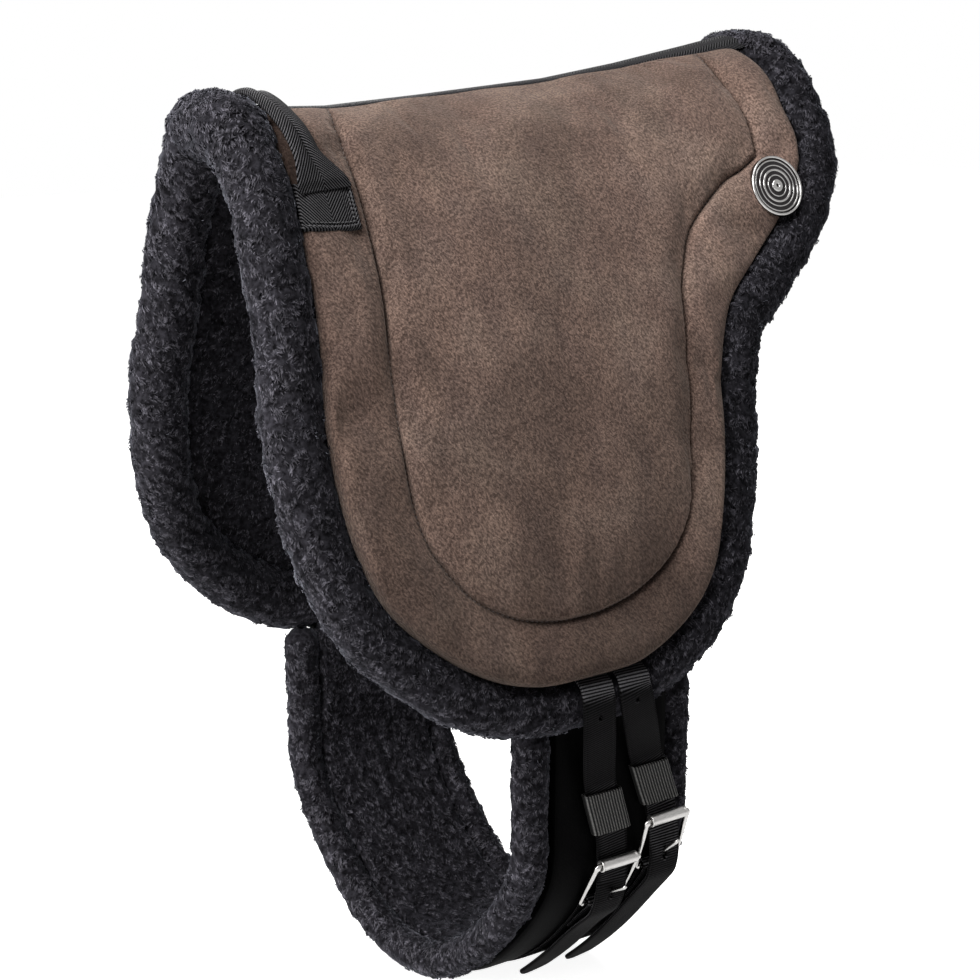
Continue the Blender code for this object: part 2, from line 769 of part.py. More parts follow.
def make_girth_band():
    def panel(name, slot, half, floor_height, top_height):
        top = []
        floor = []
        inner = girth_rises(girth_end(-half, NEAR), girth_end(-half, OFF))[1:-1]
        columns = [[girth_end(across, NEAR)] + inner + [girth_end(across, OFF)]
                   for across in (-half, 0, half)]
        for rises in zip(*columns):
            for across, rise in zip((-half, 0, half), rises):
                top.append(on_girth(rise, across, top_height))
                floor.append(on_girth(rise, across, floor_height))
        plate(name, slot, top, floor, grid_faces(len(columns[0]), 3))

    half = girth_roll_place - girth_roll_radius - seat_gap
    panel("girth_core", "webbing", half, girth_core_floor, girth_core_top)
    fleece_top = girth_core_floor - seat_gap
    panel("girth_fleece", "fleece", half, fleece_top - girth_fleece_thickness, fleece_top)
    whole = round_section(girth_roll_radius, girth_roll_sides)
    small = round_section(girth_roll_radius * girth_roll_end_share, girth_roll_sides)
    for word, across in (("front", -girth_roll_place), ("rear", girth_roll_place)):
        rises = girth_rises(girth_end(across, NEAR), girth_end(across, OFF))
        path = [on_girth(rise, across, 0) for rise in rises]
        sweep("girth_roll_" + word, "fleece", path,
              lambda index: small if index in (0, len(path) - 1) else whole,
              lambda index: along_pad)


class Strap:
    # One strap line on one side: where it runs, and its buckle's own directions.
    def __init__(self, side, front):
        self.side = side
        place = front_strap_place if front else rear_strap_place
        keeper_shift = front_keeper_shift if front else rear_keeper_shift
        self.roller_rise = front_roller_rise if front else rear_roller_rise
        self.bar_rise = self.roller_rise - frame_length
        self.keeper_rise = self.roller_rise + (front_keeper_rise if front else rear_keeper_rise)
        self.keeper_rises = [self.keeper_rise + keeper_height * share for share in keeper_row_shares]
        lean = (keeper_shift - roller_shift) / (self.keeper_rise - self.roller_rise)
        self.lane = [(self.bar_rise, place), (self.roller_rise, place + roller_shift),
                     (self.keeper_rise, place + keeper_shift),
                     (self.keeper_rise + keeper_height, place + keeper_shift + lean * keeper_height)]
        billet_shift = front_billet_shift if front else rear_billet_shift
        self.billet_place = pad_length * girth_place_share + billet_shift
        self.tail_length = front_tail_length if front else rear_tail_length
        self.name = ("near_" if side == NEAR else "off_") + ("front" if front else "rear")
        bar_height = 2 * seat_gap + strap_thickness + wire_radius
        self.bar = self.at(self.bar_rise, bar_height)
        self.up = (self.at(self.roller_rise, roller_height) - self.bar).normalized()
        outward = girth_line(side * self.bar_rise)[1]
        self.across = self.up.cross(outward).normalized() * -side
        self.out = self.up.cross(self.across).normalized() * side

    def at(self, rise, height):
        # height is measured from the band's outer face
        return on_girth(self.side * rise, read_table(self.lane, rise), girth_core_top + height)

    def local(self, wide, long, high):
        # A place in the buckle's own directions, from the middle of its bar.
        return self.bar + self.across * wide + self.up * long + self.out * high


def strap_solid(name, stations, thickness, middle, slots=(), holes=(), point_steps=0, centre=None):
    # A flat strap along (place, across) stations. Its middle strip may have slots and
    # (row, size) oval holes, and the path's end a pointed tip.
    top = []
    floor = []
    path = [place for place, across in stations]
    last = len(path) - 1
    for index, (place, across) in enumerate(stations):
        forward = direction(path, index)
        across = (across - forward * across.dot(forward)).normalized()
        out = forward.cross(across)
        spread = min(1.0, tip_share + (1 - tip_share) * (last - index) / max(point_steps, 1))
        half = strap_width / 2 * (spread if point_steps else 1.0)
        places = (-half, -middle / 2, middle / 2, half) if middle else (-half, half)
        for wide in places:
            top.append(place + across * wide + out * thickness / 2)
            floor.append(place + across * wide - out * thickness / 2)
    left_out = [(row, 1) for row in slots] + [(row, 1) for row, size in holes]
    faces = grid_faces(last + 1, 4 if middle else 2, left_out)
    for row, size in holes:
        corners = [row * 4 + 1, row * 4 + 2, row * 4 + 6, row * 4 + 5]
        start = len(top)
        for points in (top, floor):
            middle_place = sum((points[corner] for corner in corners), Vector()) / 4
            wide = (points[corners[1]] - points[corners[0]]) / 2
            long = (points[corners[3]] - points[corners[0]]) / 2
            for step in range(8):
                turn = full_turn * (step - 2.5) / 8
                points.append(middle_place + size * (
                    wide * math.cos(turn) + long * math.sin(turn)))
        for side in range(4):
            first = start + 2 * side
            second = first + 1
            following = start + (2 * side + 2) % 8
            next_corner = corners[(side + 1) % 4]
            faces.append([corners[side], next_corner, second, first])
            faces.append([next_corner, following, second])
    return plate(name, "webbing", top, floor, faces, 30, centre)


def make_girth_strap(front, word):
    radius = wire_radius + seat_gap + strap_thickness / 2
    bed = seat_gap + strap_thickness / 2
    folded = bed + strap_thickness + seat_gap
    loop_steps = 8

    def end_fold(strap):
        # The strap's end lies on the strap itself, then turns round the bar.
        stations = []
        for share in chape_row_shares:
            rise = strap.bar_rise - chape_length * share
            lift = mix(bed + 2 * radius, folded, 1 - (1 - share) ** 2)
            stations.append((strap.at(rise, lift), strap.across))
        for step in range(loop_steps + 1):
            turn = math.pi * step / loop_steps
            place = strap.local(0, radius * math.sin(turn), radius * math.cos(turn))
            stations.append((place, strap.across))
        return stations

    near = Strap(NEAR, front)
    off = Strap(OFF, front)
    stations = end_fold(near)
    reach = near.bar_rise - 2 * radius
    for rise in girth_rises(-reach, reach):
        strap = near if rise < 0 else off
        across = strap.across if abs(rise) == reach else along_pad
        stations.append((strap.at(abs(rise), bed), across))
    stations += end_fold(off)[::-1]
    fold_cells = [3 + step for step in range(-1, loop_steps + 1)]
    slots = fold_cells + [len(stations) - 2 - cell for cell in fold_cells]
    strap_solid(word, stations, strap_thickness, tongue_slot_width, slots)


def lower_edge(x):
    # The suede's lower edge at a place along the pad: how far down, and its share of the grid.
    for column, (start, end) in enumerate(zip(rows["edge"], rows["edge"][1:])):
        if start.x <= x <= end.x and start.y > flap_drop * low_edge_share:
            share = (x - start.x) / (end.x - start.x)
            return mix(start.y, end.y, share), (column + share) / last_column


def make_billet(strap):
    # From under the suede's edge, over the roll, through the keeper and under the roller.
    half = billet_thickness / 2
    run, along_share = lower_edge(strap.billet_place)
    reach = roll_centre_reach(run, along_share)
    over_roll = []
    for beyond in [billet_setback] + [share * reach for share in billet_roll_shares]:
        lift = roll_top(run, along_share, beyond) + billet_clearance + half
        over_roll.append(flap_point(strap.billet_place, run + beyond, lift, strap.side))
    bed = seat_gap + keeper_wall + keeper_play + half
    rises = [strap.keeper_rises[-1] + keeper_lead] + strap.keeper_rises[::-1]
    in_keeper = [strap.at(rise, bed) for rise in rises]
    hang = over_roll[-2:] + [mix(over_roll[-1], in_keeper[0], billet_hang_share), in_keeper[0]]
    hang[-2] += strap.out * billet_thickness
    path = over_roll[:-2] + even_points(spline(hang), 6)[:-1] + in_keeper
    above_roller = len(path)
    for long, high in billet_path_shares:
        path.append(strap.local(0, frame_length * long, billet_bulge * high))
    path.append(strap.local(0, 2 * seat_gap, billet_bulge))
    stations = [(place, along_pad if index < above_roller else strap.across)
                for index, place in enumerate(path)]
    strap_solid(strap.name + "_billet", stations, billet_thickness, hole_cell_width,
                holes=((3, spare_hole_share), (len(path) - 3, hole_share)))


def make_tail(strap):
    # The billet's free end, from the bar down along the girth to a point.
    half = billet_thickness / 2
    on_fold = 2 * strap_thickness + 4 * seat_gap + half
    rise = strap.bar_rise
    keys = [
        strap.local(0, -2 * seat_gap, billet_bulge),
        strap.local(0, -frame_length * tail_top_share, billet_bulge),
        strap.at(rise - chape_length * chape_thin_share, on_fold + seat_gap)]
    keys += [strap.at(rise - strap.tail_length * low, on_fold + tail_lift * lift)
             for low, lift in tail_path_shares]
    path = even_points(spline(keys), 12)
    hinge = strap.local(0, 0, billet_bulge + half)
    stations = [(place, strap.across if index < 3 else along_pad) for index, place in enumerate(path)]
    strap_solid(strap.name + "_billet_tail", stations, billet_thickness, 0, point_steps=2,
                centre=hinge)


def make_keeper(strap):
    # A flat elastic loop round the billet, sewn to the girth.
    wide = strap_width / 2 + keeper_room
    high = billet_thickness + 2 * keeper_play
    outer_wide = wide + keeper_wall
    low = seat_gap + keeper_wall
    outer = [(-outer_wide, seat_gap), (outer_wide, seat_gap), (outer_wide, low + high),
             (wide, low + high + keeper_wall), (-wide, low + high + keeper_wall),
             (-outer_wide, low + high)]
    inner = [(-wide, low), (wide, low), (wide, low + high - keeper_play),
             (wide - keeper_wall, low + high), (keeper_wall - wide, low + high),
             (-wide, low + high - keeper_play)]
    points = []
    rings = []
    for pairs, rises in ((outer, strap.keeper_rises), (inner, strap.keeper_rises[::-1])):
        for rise in rises:
            across = read_table(strap.lane, rise)
            rings.append(list(range(len(points), len(points) + len(pairs))))
            points += [on_girth(strap.side * rise, across + wide, girth_core_top + high)
                       for wide, high in pairs]
    add_object(strap.name + "_keeper", "elastic", points, ring_faces(rings, True), smooth_deg=30)


def make_buckle(strap):
    # Frame: a wire rectangle with round corners, its bar on the joint's axis.
    path = []
    corner_steps = 2
    for corner, (wide_side, long_end) in enumerate(((1, 0), (1, 1), (-1, 1), (-1, 0))):
        wide = wide_side * (frame_half_width - frame_corner)
        long = mix(frame_corner, frame_length - frame_corner, long_end)
        for step in range(corner_steps + 1):
            turn = math.pi / 2 * (corner - 1 + step / corner_steps)
            path.append(strap.local(wide + frame_corner * math.cos(turn),
                                    long + frame_corner * math.sin(turn), 0))
    section = round_section(wire_radius, 8)
    sweep(strap.name + "_buckle_frame", "steel", path, lambda index: section,
          lambda index: strap.out, closed=True, centre=strap.bar)

    roller = strap.local(0, frame_length, 0)
    half = roller_length / 2
    points = []
    rings = []
    for radius, wide in ((roller_radius, -half), (roller_radius, half),
                         (wire_radius + seat_gap, half), (wire_radius + seat_gap, -half)):
        rings.append(list(range(len(points), len(points) + roller_sides)))
        points += [strap.local(wide, frame_length + long, high)
                   for long, high in round_section(radius, roller_sides)]
    add_object(strap.name + "_buckle_roller", "steel", points, ring_faces(rings, True), 40, roller)

    # Tongue: bent round the bar, then straight out through the billet's hole.
    radius = wire_radius + seat_gap + tongue_thickness / 2
    lean = math.radians(tongue_angle_deg)
    path = []
    bend_steps = 8
    for step in range(bend_steps + 1):
        turn = lean + math.radians(mix(tongue_bend_start_deg, tongue_bend_end_deg, step / bend_steps))
        path.append(strap.local(0, radius * math.cos(turn), radius * math.sin(turn)))
    root = path[-1]
    reach = strap.up * math.cos(lean) + strap.out * math.sin(lean)
    for share in tongue_row_shares:
        path.append(root + reach * tongue_length * share)
    last = len(path) - 1

    def tongue_section(index):
        grown = smoothstep((index - bend_steps) / 2)
        wide = mix(tongue_width, tongue_round, grown) / 2
        high = mix(tongue_thickness, tongue_round, grown) / 2
        if index == last:
            wide *= tongue_tip_share
            high *= tongue_tip_share
        return [(wide * x, high * y) for x, y in tongue_corner_shares]

    sweep(strap.name + "_buckle_tongue", "steel", path, tongue_section,
          lambda index: strap.across, centre=strap.bar)


def main():
    clear_scene()
    for side, word in ((NEAR, "near"), (OFF, "off")):
        make_flap(side, word)
        make_edge_roll(side, word)
        make_tab(side, word)
        make_badge(side, word)
    make_spine_webbing()
    make_grab_strap()
    make_girth_band()
    make_girth_strap(True, "girth_strap_front")
    make_girth_strap(False, "girth_strap_rear")
    for side in (NEAR, OFF):
        for front in (True, False):
            strap = Strap(side, front)
            make_billet(strap)
            make_tail(strap)
            make_keeper(strap)
            make_buckle(strap)


main()
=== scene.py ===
# Bareback pad with its girth buckled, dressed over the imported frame. Metres, +X to the tail.
import math
import bpy
import numpy as np
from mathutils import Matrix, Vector


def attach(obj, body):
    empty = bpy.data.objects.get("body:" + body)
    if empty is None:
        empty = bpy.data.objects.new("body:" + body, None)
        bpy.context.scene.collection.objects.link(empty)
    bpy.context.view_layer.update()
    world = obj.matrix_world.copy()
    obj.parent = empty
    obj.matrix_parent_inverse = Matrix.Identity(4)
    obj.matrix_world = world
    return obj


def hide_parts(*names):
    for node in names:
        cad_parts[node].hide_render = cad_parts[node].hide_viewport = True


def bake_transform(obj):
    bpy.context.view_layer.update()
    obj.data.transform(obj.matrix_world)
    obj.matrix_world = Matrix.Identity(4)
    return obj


print("loading the frame")
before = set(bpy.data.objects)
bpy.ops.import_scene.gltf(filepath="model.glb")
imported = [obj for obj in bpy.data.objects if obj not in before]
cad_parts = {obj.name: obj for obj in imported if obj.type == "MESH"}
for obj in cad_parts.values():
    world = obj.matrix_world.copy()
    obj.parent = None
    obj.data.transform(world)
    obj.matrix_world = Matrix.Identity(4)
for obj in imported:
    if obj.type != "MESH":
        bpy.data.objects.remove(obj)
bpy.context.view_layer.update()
scene = bpy.context.scene
near, off = -1, 1
sides = ((near, "near"), (off, "off"))

# sizes that all pieces share, as in the part's source
pad = {
    "length": 0.455, "flapDrop": 0.427, "archSpread": 0.062, "swell": 0.08,
    "swellPlace": 0.44, "swellReach": 0.57, "suedeHeight": 0.016, "suedeThick": 0.0016,
    "webbingThick": 0.0020, "gap": 0.0003,
    "ridge": [(-0.04, 0.0040), (0.0, -0.0044), (0.12, -0.0132), (0.19, -0.0143), (0.36, -0.0022),
              (0.60, 0.0176), (0.75, 0.0396), (0.90, 0.0660), (0.97, 0.0790), (1.04, 0.0920)],
    "spineHalf": [(0.0, 0.0154), (0.62, 0.0154), (0.75, 0.020), (0.88, 0.031), (0.97, 0.042)],
}
outline = {
    "edge": [
        [(0.044, 0.016), (0.048, 0.06), (0.050, 0.10)],
        [(0.050, 0.10), (0.052, 0.18), (0.046, 0.26), (0.046, 0.33), (0.040, 0.43),
         (0.031, 0.52), (0.033, 0.60), (0.040, 0.67), (0.053, 0.733), (0.075, 0.796),
         (0.108, 0.845), (0.170, 0.905), (0.248, 0.962), (0.322, 0.992), (0.387, 1.000)],
        [(0.387, 1.000), (0.486, 1.004), (0.534, 0.994), (0.576, 0.976), (0.620, 0.950),
         (0.652, 0.921), (0.679, 0.878), (0.701, 0.812), (0.717, 0.745), (0.730, 0.667),
         (0.738, 0.588)],
        [(0.738, 0.588), (0.756, 0.525), (0.785, 0.464), (0.846, 0.410), (0.914, 0.356),
         (0.958, 0.314), (0.987, 0.265)],
        [(0.987, 0.265), (0.993, 0.222), (0.987, 0.176), (0.981, 0.105), (0.960, 0.043)]],
    "seam": [
        [(0.174, 0.016), (0.164, 0.06), (0.158, 0.103)],
        [(0.158, 0.103), (0.156, 0.211), (0.154, 0.328), (0.147, 0.422),
         (0.142, 0.539), (0.145, 0.651), (0.160, 0.724), (0.187, 0.775), (0.231, 0.831),
         (0.295, 0.874), (0.363, 0.895), (0.410, 0.899)],
        [(0.410, 0.899), (0.448, 0.899), (0.516, 0.885), (0.582, 0.850), (0.629, 0.796),
         (0.648, 0.726), (0.662, 0.632), (0.671, 0.570)],
        [(0.671, 0.570), (0.675, 0.522), (0.684, 0.440), (0.699, 0.391), (0.725, 0.337),
         (0.767, 0.300), (0.822, 0.267), (0.862, 0.255), (0.899, 0.239)],
        [(0.899, 0.239), (0.903, 0.192), (0.899, 0.150), (0.888, 0.096), (0.877, 0.030)]],
    "spanSteps": [16, 81, 72, 63, 36], "fan": (0.242, 0.813),
}


# small helpers
def smoothstep(t):
    t = np.clip(t, 0.0, 1.0)
    return t * t * (3 - 2 * t)


def readTable(table, place):
    return np.interp(place, [row[0] for row in table], [row[1] for row in table])


def unit(vectors):
    return vectors / np.maximum(np.linalg.norm(vectors, axis=-1, keepdims=True), 1e-12)


def spline(keys, steps=12):
    # a smooth curve through every key, as a dense array
    keys = np.asarray(keys, float)
    last = len(keys) - 1
    dense = []
    for i in range(last):
        before, start = keys[max(i - 1, 0)], keys[i]
        end, after = keys[i + 1], keys[min(i + 2, last)]
        for step in range(steps):
            t = step / steps
            dense.append(0.5 * (2 * start + (end - before) * t
                                + (2 * before - 5 * start + 4 * end - after) * t ** 2
                                + (3 * start - before - 3 * end + after) * t ** 3))
    dense.append(keys[-1])
    return np.array(dense)


def runAlong(path):
    # the distance walked along a path, at each of its points
    return np.concatenate([[0], np.cumsum(np.linalg.norm(np.diff(path, axis=0), axis=1))])


def readAlong(at, places, values):
    # each column of values, read between places
    return np.stack([np.interp(at, places, values[:, k]) for k in range(values.shape[1])], -1)


def evenPoints(dense, count):
    run = runAlong(dense)
    return readAlong(np.linspace(0, run[-1], count + 1), run, dense)


def squareTo(forward, vectors):
    # the part of these vectors that stands square to the way forward, one long
    return unit(vectors - forward * (vectors * forward).sum(-1, keepdims=True))


def fullTurn(count):
    return np.linspace(0, 2 * math.pi, count, endpoint=False)


def tangents(path, closed=False):
    if closed:
        return unit(np.roll(path, -1, 0) - np.roll(path, 1, 0))
    return unit(np.gradient(path, axis=0))


def waves(points, length, seed):
    # a smooth random field between about -1 and 1, with bumps about this long
    dice = np.random.default_rng(seed)
    total = np.zeros(len(points))
    layers, calm = 7, 1.4
    for _ in range(layers):
        way = dice.normal(size=3)
        way *= (2 * math.pi / length) * dice.uniform(0.6, 1.5) / np.linalg.norm(way)
        total += np.sin(points @ way + dice.uniform(0, 6.3))
    return total / math.sqrt(layers * calm)


def gridFaces(rows, columns, closedRows=False, closedColumns=False):
    r = np.arange(rows if closedRows else rows - 1)[:, None]
    c = np.arange(columns if closedColumns else columns - 1)[None, :]
    r2, c2 = (r + 1) % rows, (c + 1) % columns
    quads = np.stack([r * columns + c, r * columns + c2, r2 * columns + c2, r2 * columns + c], -1)
    return quads.reshape(-1, 4)


def capped(rows):
    # a tube of section rows with both ends closed
    count, size = rows.shape[:2]
    faces = gridFaces(count, size, False, True)
    ends = [list(range(size))[::-1], [(count - 1) * size + k for k in range(size)]]
    return rows.reshape(-1, 3), faces, ends


def addPiece(name, points, faces, material, uv=None, flip=False, uvName="strapMap"):
    mesh = bpy.data.meshes.new(name)
    faces = [list(map(int, face)) for face in faces]
    if flip:
        faces = [face[::-1] for face in faces]
    mesh.from_pydata(np.asarray(points, float).tolist(), [], faces)
    if uv is not None:
        layer = mesh.uv_layers.new(name=uvName)
        corners = np.empty(len(mesh.loops), int)
        mesh.loops.foreach_get("vertex_index", corners)
        layer.data.foreach_set("uv", np.asarray(uv, float)[corners].ravel())
    mesh.shade_smooth()
    mesh.materials.append(material)
    mesh.update()
    piece = bpy.data.objects.new(name, mesh)
    scene.collection.objects.link(piece)
    return piece


def addGrid(name, rows, material, uv=None, flip=False, closedRows=False, closedColumns=False):
    faces = gridFaces(*rows.shape[:2], closedRows, closedColumns)
    return addPiece(name, rows.reshape(-1, 3), faces, material, uv, flip)


def addTube(name, rows, material, uv=None, flip=False):
    points, faces, ends = capped(rows)
    return addPiece(name, points, faces.tolist() + ends, material, uv, flip)


def onPad(piece, slot, *nodes, body="pad"):
    # the piece moves with its body and stands for these nodes
    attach(piece, body)
    if nodes:
        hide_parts(*nodes)


def openEdges(grid, count):
    # the edges that only one face of a grid uses
    edges = np.concatenate([grid[:, [k, (k + 1) % 4]] for k in range(4)])
    key = np.sort(edges, 1)
    _, first, uses = np.unique(key[:, 0] * count + key[:, 1], return_index=True, return_counts=True)
    return edges[first[uses == 1]]


# the flap's middle surface
def archSharpness(x):
    away = (x / pad["length"] - pad["swellPlace"]) / pad["swellReach"]
    swell = 1 + pad["swell"] * (1 - away * away)
    return 1 / (pad["archSpread"] * swell * swell)


def middleSurface(x, run, side):
    sharp = archSharpness(x)
    length = np.abs(run)
    half = np.minimum(length, np.sqrt(length / sharp))
    for _ in range(30):
        slope = 2 * sharp * half
        arc = half / 2 * np.sqrt(1 + slope * slope) + np.arcsinh(slope) / (4 * sharp)
        half = half - (arc - length) / np.sqrt(1 + slope * slope)
    half = np.where(run < 0, -half, half)
    ridge = pad["length"] * readTable(pad["ridge"], x / pad["length"]) \
        - pad["suedeHeight"] - pad["webbingThick"]
    return np.stack([x, side * half, ridge - sharp * half * half], -1)


def onFlap(x, run, height, side):
    # points at a height over the flap, and the surface's outward normals
    x, run, height = np.broadcast_arrays(np.asarray(x, float), np.asarray(run, float),
                                         np.asarray(height, float))
    step = 0.0004
    along = middleSurface(x + step, run, side) - middleSurface(x - step, run, side)
    down = middleSurface(x, run + step, side) - middleSurface(x, run - step, side)
    normal = unit(np.cross(along, down)) * (-1 if side == near else 1)
    normal = np.where(normal[..., 2:] < 0, -normal, normal)
    return middleSurface(x, run, side) + normal * height[..., None], normal


def spineHalf(x):
    return pad["length"] * readTable(pad["spineHalf"], x / pad["length"])


def flatCurve(spans):
    points = []
    for keys, steps in zip(spans, outline["spanSteps"]):
        keys = np.array(keys) * (pad["length"], pad["flapDrop"])
        stretch = evenPoints(spline(keys), steps)
        points.append(stretch if not points else stretch[1:])
    return np.vstack(points)


edge = flatCurve(outline["edge"])
seam = flatCurve(outline["seam"])
columnShare = np.linspace(0, 1, len(edge))
top = np.column_stack([pad["length"] * (outline["fan"][0] + (outline["fan"][1] - outline["fan"][0])
                                        * columnShare), np.zeros(len(edge))])
for line in (edge, seam, top):
    for end in (0, -1):
        line[end, 1] = spineHalf(line[end, 0]) + pad["gap"]
top[:, 1] = spineHalf(top[:, 0]) + pad["gap"]

# the fleece roll's line round the flap
roll = {
    "radius": 0.0215, "reach": 0.0150, "reachCrest": 0.0195, "height": -0.0100,
    "heightCrest": 0.0035, "crestFade": 0.300,
    "growth": [(0.0, 1.0), (0.40, 1.0), (0.52, 1.16), (0.75, 1.22), (0.88, 1.08), (1.0, 0.96)],
    "around": 36, "offFull": 0.0034, "clump": 0.0016, "pileLength": 0.0046, "spacing": 0.00125,
    "skin": 0.97,
}


def crestShare(run):
    return 1 - smoothstep(np.abs(run) / roll["crestFade"])


def rollHeight(run):
    return roll["height"] + (roll["heightCrest"] - roll["height"]) * crestShare(run)


def rollSize(share):
    return roll["radius"] * readTable(roll["growth"], share)


def rollReach(run, share):
    reach = roll["reach"] + (roll["reachCrest"] - roll["reach"]) * crestShare(run)
    return reach * readTable(roll["growth"], share)


def rollTop(run, share, beyond):
    aside = beyond - rollReach(run, share)
    return rollHeight(run) + np.sqrt(np.maximum(rollSize(share) ** 2 - aside ** 2, 0))


# the girth's line, and places up it and across it
girth = {
    "halfWidth": 0.1400, "drop": 0.2320, "top": -0.4345, "nearRise": 0.0200, "offRise": 0.0020,
    "curve": [(1.0, 0.0), (1.0, 0.27), (0.98, 0.50), (0.81, 0.69), (0.52, 0.880), (0.23, 0.982),
              (0.0, 1.0)],
    "place": 0.46044, "skew": 0.0155, "rollRadius": 0.0135, "rollPlace": 0.0635,
    "coreFloor": 0.0030, "coreTop": 0.0132, "coreCorner": (0.002, 40),
    "fleeceThick": 0.0150, "fleeceInside": 0.001, "fleeceCorner": (0.003, 26), "steps": 220,
    "puff": 0.0016, "puffReach": 0.012, "puffEdge": 0.008, "rollAround": 28, "rollSteps": 190,
    # the rolls' rounded ends: how far in, and how full there
    "rollEnds": [(0.0002, 0.22), (0.0012, 0.50), (0.0032, 0.76), (0.0065, 0.93)],
    "rollEndReach": 0.011, "rollSpacing": 0.00125, "rollPile": 0.0044, "rollClump": 0.0011,
    "fleeceSpacing": 0.0016, "fleecePile": 0.0045, "fleeceClump": 0.0009,
}


def girthCurve():
    half = [(-girth["halfWidth"] * wide, girth["top"] - girth["drop"] * low)
            for wide, low in girth["curve"]]
    return evenPoints(spline(half + [(-y, z) for y, z in half[-2::-1]]), 400)


girthPath = girthCurve()
girthWay = tangents(girthPath)
girthRun = runAlong(girthPath)
girthHalf = girthRun[-1] / 2


def onGirth(rise, across, height):
    # points and outward normals; rise counts from the bottom of the U, near side minus
    rise, across, height = np.broadcast_arrays(*(np.asarray(value, float)
                                                 for value in (rise, across, height)))
    place = rise + girthHalf
    held = np.clip(place, 0, girthRun[-1])
    y, z = np.moveaxis(readAlong(held, girthRun, girthPath), -1, 0)
    wayY, wayZ = np.moveaxis(readAlong(held, girthRun, girthWay), -1, 0)
    normal = unit(np.stack([np.zeros_like(y), wayZ, -wayY], -1))
    x = pad["length"] * girth["place"] - girth["skew"] * y / girth["halfWidth"] + across
    return np.stack([x, y, z + np.abs(place - held)], -1) + normal * height[..., None], normal


def girthEnd(across, side):
    share = (across + girth["rollPlace"]) / (2 * girth["rollPlace"])
    rise = girth["nearRise"] if side == near else girth["offRise"]
    return side * (girthHalf + rise * share ** 3)


# strap lines: one for the front and one for the rear strap on each side
strap = {
    "width": 0.0275, "thick": 0.0025, "billetThick": 0.0028, "clearance": 0.0018, "tip": 0.15,
    "place": (0.0014, 0.0440), "rollerShift": -0.0015, "keeperShift": (-0.0095, -0.0085),
    "billetShift": (-0.0195, 0.0120), "rollShares": (0.50, 0.95, 1.40), "hang": 0.55,
    "rollerRise": (0.2060, 0.2275), "keeperRise": (0.0285, 0.0195), "keeperHeight": 0.0330,
    "keeperWall": 0.0018, "keeperRoom": 0.0015, "keeperPlay": 0.0009, "keeperLead": 0.0120,
    "tailLength": (0.1150, 0.1350), "tailLift": 0.0070, "foldLength": 0.0320,
    "ribPitch": 0.0021, "ribDepth": 0.00036, "rowStep": 0.00052,
}
buckle = {
    "wire": 0.0020, "halfWidth": 0.0190, "length": 0.0430, "corner": 0.0026, "roller": 0.0041,
    "rollerLength": 0.0325, "rollerHeight": 0.0155, "tongue": 0.0370, "angle": 31,
    "bulge": 0.0020 + 0.0003 + 0.0025 + 0.0016 + 0.0014,
}


class StrapLine:
    # where a strap runs on its side, and its buckle's own directions
    def __init__(self, side, rear):
        self.side, self.rear = side, rear
        self.name = ("near", "off")[side == off] + ("_front", "_rear")[rear]
        place = strap["place"][rear]
        self.rollerRise = strap["rollerRise"][rear]
        self.barRise = self.rollerRise - buckle["length"]
        self.keeperRise = self.rollerRise + strap["keeperRise"][rear]
        shift, height = strap["keeperShift"][rear], strap["keeperHeight"]
        lean = (shift - strap["rollerShift"]) / (self.keeperRise - self.rollerRise)
        self.lane = [(self.barRise, place), (self.rollerRise, place + strap["rollerShift"]),
                     (self.keeperRise, place + shift),
                     (self.keeperRise + height, place + shift + lean * height)]
        self.bar = self.at(self.barRise, 2 * pad["gap"] + strap["thick"] + buckle["wire"])
        self.up = unit(self.at(self.rollerRise, buckle["rollerHeight"]) - self.bar)
        outward = onGirth(side * self.barRise, 0, 0)[1]
        self.across = unit(np.cross(self.up, outward)) * -side
        self.out = unit(np.cross(self.up, self.across)) * side

    def at(self, rise, height):
        # height over the band's outer face
        return onGirth(self.side * rise, readTable(self.lane, rise), girth["coreTop"] + height)[0]

    def local(self, wide, long, high):
        return self.bar + self.across * wide + self.up * long + self.out * high

    def billetPath(self):
        # from under the suede, over the roll, through the keeper and under the roller to the bar
        half = strap["billetThick"] / 2
        x = pad["length"] * girth["place"] + strap["billetShift"][self.rear]
        low = np.flatnonzero(edge[:, 1] > pad["flapDrop"] * 0.85)
        run = np.interp(x, edge[low, 0], edge[low, 1])
        share = np.interp(x, edge[low, 0], columnShare[low])
        reach = rollReach(run, share)
        keys = []
        for beyond, rise in [(-0.006, -0.0022), (-0.001, -0.0012), (0.0045, 0.0010)] + \
                [(part * reach, strap["clearance"]) for part in strap["rollShares"]]:
            lift = rollTop(run, share, beyond) + rise + half
            keys.append(onFlap(x, run + beyond, lift, self.side)[0])
        bed = pad["gap"] + strap["keeperWall"] + strap["keeperPlay"] + half
        top = self.keeperRise + strap["keeperHeight"] / 2
        entry = self.at(top + strap["keeperLead"], bed)
        hang = keys[-1] + (entry - keys[-1]) * strap["hang"] + self.out * strap["billetThick"]
        keys += [hang, entry, self.at(top, bed), self.at(self.keeperRise, bed),
                 self.at(top - strap["keeperHeight"], bed)]
        for long, high in ((0.744, -0.256), (0.500, 0.385), (0.198, 0.897)):
            keys.append(self.local(0, buckle["length"] * long, buckle["bulge"] * high))
        return keys + [self.local(0, 0, buckle["bulge"])]

    def tailPath(self):
        onFold = 2 * strap["thick"] + 4 * pad["gap"] + strap["billetThick"] / 2
        length = strap["tailLength"][self.rear]
        keys = [self.local(0, -buckle["length"] * 0.2, buckle["bulge"]),
                self.at(self.barRise - strap["foldLength"] * 0.8, onFold + pad["gap"])]
        return keys + [self.at(self.barRise - length * low, onFold + strap["tailLift"] * lift)
                       for low, lift in ((0.5, 0.0), (0.8, 0.3), (1.0, 1.0))]


